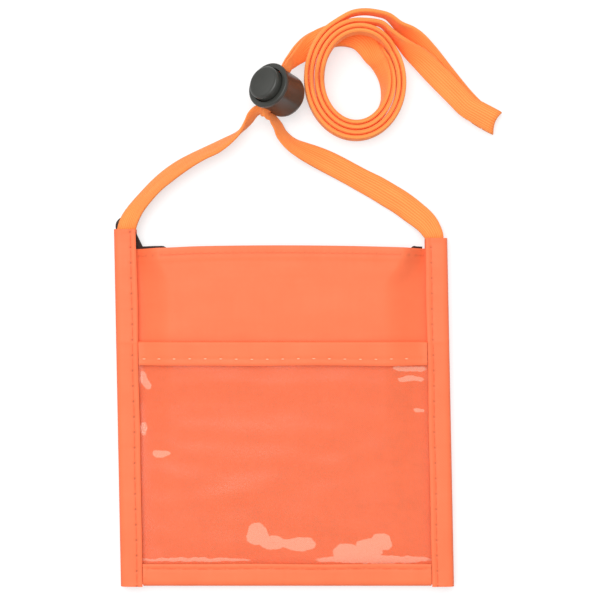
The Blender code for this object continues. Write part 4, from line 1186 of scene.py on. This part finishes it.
def arc(centre_r, centre_z, radius, start, end):
    """Points of a round on a turned profile, from one angle in degrees to another."""
    points = []
    for k in range(ROUND_STEPS + 1):
        turn = math.radians(start + (end - start) * k / ROUND_STEPS)
        points.append((centre_r + radius * math.cos(turn), centre_z + radius * math.sin(turn)))
    return points


def lathe(profile):
    """Turn a profile of radius and height round Z."""
    form = bmesh.new()
    verts = [form.verts.new((radius, 0.0, height)) for radius, height in profile]
    edges = [form.edges.new(pair) for pair in zip(verts, verts[1:])]
    bmesh.ops.spin(form, geom=verts + edges, cent=(0, 0, 0), axis=(0, 0, 1), angle=math.tau,
                   steps=LATHE_STEPS, use_merge=True)
    bmesh.ops.remove_doubles(form, verts=form.verts, dist=GAP / 1000)
    bmesh.ops.recalc_face_normals(form, faces=form.faces)
    return form


def cross_hole(height, middle):
    """A tall hole with round ends, across the lock."""
    form = bmesh.new()
    bmesh.ops.create_circle(form, segments=32, radius=HOLE_WIDTH / 2, cap_ends=True,
                            matrix=Matrix.Rotation(math.pi / 2, 4, "X"))
    for vert in form.verts:
        vert.co.z += middle + math.copysign((height - HOLE_WIDTH) / 2, vert.co.z)
        vert.co.y = -2 * BARREL_RADIUS
    grown = bmesh.ops.extrude_face_region(form, geom=form.faces[:])
    moved = [item for item in grown["geom"] if isinstance(item, bmesh.types.BMVert)]
    bmesh.ops.translate(form, vec=(0, 4 * BARREL_RADIUS, 0), verts=moved)
    bmesh.ops.recalc_face_normals(form, faces=form.faces)
    return form


def drilled(name, form, hole, shade):
    """A turned piece with the cord's hole cut through it, in its place."""
    piece = finish_piece(name, form, shade)
    cutter = finish_piece(name + "_cutter", hole, shade)
    cut = piece.modifiers.new("cord hole", "BOOLEAN")
    cut.operation = "DIFFERENCE"
    cut.object = cutter
    graph = bpy.context.evaluated_depsgraph_get()
    mesh = bpy.data.meshes.new_from_object(piece.evaluated_get(graph))
    piece.modifiers.clear()
    piece.data = mesh
    bpy.data.objects.remove(cutter, do_unlink=True)
    mesh.transform(lock_place())
    mesh.shade_smooth()
    mesh.set_sharp_from_angle(angle=math.radians(LOCK_SHARP))
    return piece


def make_lock():
    """The cord lock's turned barrel, its sprung button and the spring's wire."""
    plastic = hard_material("moulded dark plastic", dye("plastic"), roughness=0.32, metallic=0.0, scale=4.0,
                            depth=0.03 * MM)
    outer, bore, top = BARREL_RADIUS, BARREL_BORE, BARREL_LENGTH
    flange = outer - FLANGE_LIP
    profile = [(0.0, 0.0)] + arc(flange - BARREL_ROUND, BARREL_ROUND, BARREL_ROUND, -90, 0)
    profile += [(flange, top - FLANGE_HEIGHT - FLANGE_LIP)]
    profile += arc(outer - EDGE_ROUND, top - FLANGE_HEIGHT + EDGE_ROUND, EDGE_ROUND, -60, 0)
    profile += arc(outer - FLANGE_LIP, top - FLANGE_LIP, FLANGE_LIP, 0, 90)
    profile += arc(bore + EDGE_ROUND, top - EDGE_ROUND, EDGE_ROUND, 90, 180)
    profile += [(bore, BARREL_FLOOR), (0.0, BARREL_FLOOR)]
    hole = cross_hole(CORD_WIDTH * PINCH_SHARE + 2 * GAP, HOLE_Z)
    barrel = drilled("lock_body", lathe(profile), hole, plastic)
    wallet_piece(barrel, "lock_plastic", "lock_barrel")
    cap = BARREL_BORE - PLUNGER_PLAY
    high = top + PLUNGER_PROUD
    bottom = top - PLUNGER_TOP_WALL - PLUNGER_HOLE - PLUNGER_FOOT
    rim = cap - BUTTON_ROUND
    profile = [(0.0, bottom), (cap - EDGE_ROUND, bottom), (cap, bottom + EDGE_ROUND)]
    profile += arc(rim, high - BUTTON_ROUND, BUTTON_ROUND, 0, 90)
    profile += [(rim * share, high - BUTTON_DISH * (1 - share ** 2)) for share in DISH_SHARES]
    hole = cross_hole(PLUNGER_HOLE, top - PLUNGER_TOP_WALL - PLUNGER_HOLE / 2)
    button = drilled("lock_button", lathe(profile), hole, plastic)
    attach(button, "plunger")
    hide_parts("lock_plunger")
    steel = hard_material("spring steel", dye("steel"), roughness=0.3, metallic=1.0, scale=6.0,
                          depth=0.01 * MM)
    dress("lock_spring", steel)


def dress(node, shade):
    """A better finish for a piece that keeps its solid."""
    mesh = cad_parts[node].data
    mesh.materials.clear()
    mesh.materials.append(shade)


def make_zip_metal():
    """Finishes of the zip's teeth, stops, slider and pull."""
    nylon = hard_material("black nylon teeth", dye("zip_black"), roughness=0.42, metallic=0.0, scale=2.0,
                          depth=0.02 * MM)
    metal = hard_material("black lacquered metal", dye("lacquer"), roughness=0.3, metallic=0.7, scale=5.0,
                          depth=0.02 * MM)
    for node in ("zip_teeth_front", "zip_teeth_back"):
        dress(node, nylon)
    for node in ("zip_top_stop_front", "zip_top_stop_back", "zip_bottom_stop", "zip_slider", "zip_pull_tab"):
        dress(node, metal)


class WALLET_OT_stage(bpy.types.Operator):
    """Add the camera, the floor, the lamp and the surround"""
    bl_idname = "wallet.stage"
    bl_label = "Stage"

    def execute(self, context):
        make_stage()
        return {"FINISHED"}


class WALLET_OT_cords(bpy.types.Operator):
    """Lay the neck cord through the lock and round its coil"""
    bl_idname = "wallet.cords"
    bl_label = "Neck cord"

    def execute(self, context):
        make_cords()
        return {"FINISHED"}


class WALLET_OT_panels(bpy.types.Operator):
    """Make the front and back cloth"""
    bl_idname = "wallet.panels"
    bl_label = "Panels"

    def execute(self, context):
        make_panels()
        return {"FINISHED"}


class WALLET_OT_window(bpy.types.Operator):
    """Lay the clear film over the front"""
    bl_idname = "wallet.window"
    bl_label = "Window"

    def execute(self, context):
        make_window()
        return {"FINISHED"}


class WALLET_OT_bindings(bpy.types.Operator):
    """Fold and sew the bindings"""
    bl_idname = "wallet.bindings"
    bl_label = "Bindings and stitches"

    def execute(self, context):
        make_bindings()
        return {"FINISHED"}


class WALLET_OT_zip_tapes(bpy.types.Operator):
    """Make the zip's woven tapes"""
    bl_idname = "wallet.zip_tapes"
    bl_label = "Zip tapes"

    def execute(self, context):
        make_zip_tapes()
        return {"FINISHED"}


class WALLET_OT_zip_metal(bpy.types.Operator):
    """Finish the zip's teeth, stops, slider and pull"""
    bl_idname = "wallet.zip_metal"
    bl_label = "Zip metal"

    def execute(self, context):
        make_zip_metal()
        return {"FINISHED"}


class WALLET_OT_lock(bpy.types.Operator):
    """Turn the cord lock"""
    bl_idname = "wallet.lock"
    bl_label = "Cord lock"

    def execute(self, context):
        make_lock()
        return {"FINISHED"}


OPERATORS = (WALLET_OT_stage, WALLET_OT_cords, WALLET_OT_panels, WALLET_OT_window, WALLET_OT_bindings,
             WALLET_OT_zip_tapes, WALLET_OT_zip_metal, WALLET_OT_lock)


class WALLET_PT_panel(bpy.types.Panel):
    """Lists the wallet's operators"""
    bl_idname = "WALLET_PT_panel"
    bl_label = "Neck wallet"
    bl_space_type = "VIEW_3D"
    bl_region_type = "UI"
    bl_category = "Wallet"

    def draw(self, context):
        for operator in OPERATORS:
            self.layout.operator(operator.bl_idname)


GROUPS = (("wallet_sizes", WalletSizes), ("wallet_colours", WalletColours), ("wallet_stage", WalletStage))


def register():
    for name, group in GROUPS:
        bpy.utils.register_class(group)
        setattr(bpy.types.Scene, name, bpy.props.PointerProperty(type=group))
    for kind in (*OPERATORS, WALLET_PT_panel):
        bpy.utils.register_class(kind)


def unregister():
    for kind in (WALLET_PT_panel, *reversed(OPERATORS)):
        bpy.utils.unregister_class(kind)
    for name, group in reversed(GROUPS):
        delattr(bpy.types.Scene, name)
        bpy.utils.unregister_class(group)


def main():
    register()
    bpy.ops.wallet.stage()
    bpy.ops.wallet.cords()
    bpy.ops.wallet.panels()
    bpy.ops.wallet.window()
    bpy.ops.wallet.bindings()
    bpy.ops.wallet.zip_tapes()
    bpy.ops.wallet.zip_metal()
    bpy.ops.wallet.lock()


if __name__ == "__main__":
    main()
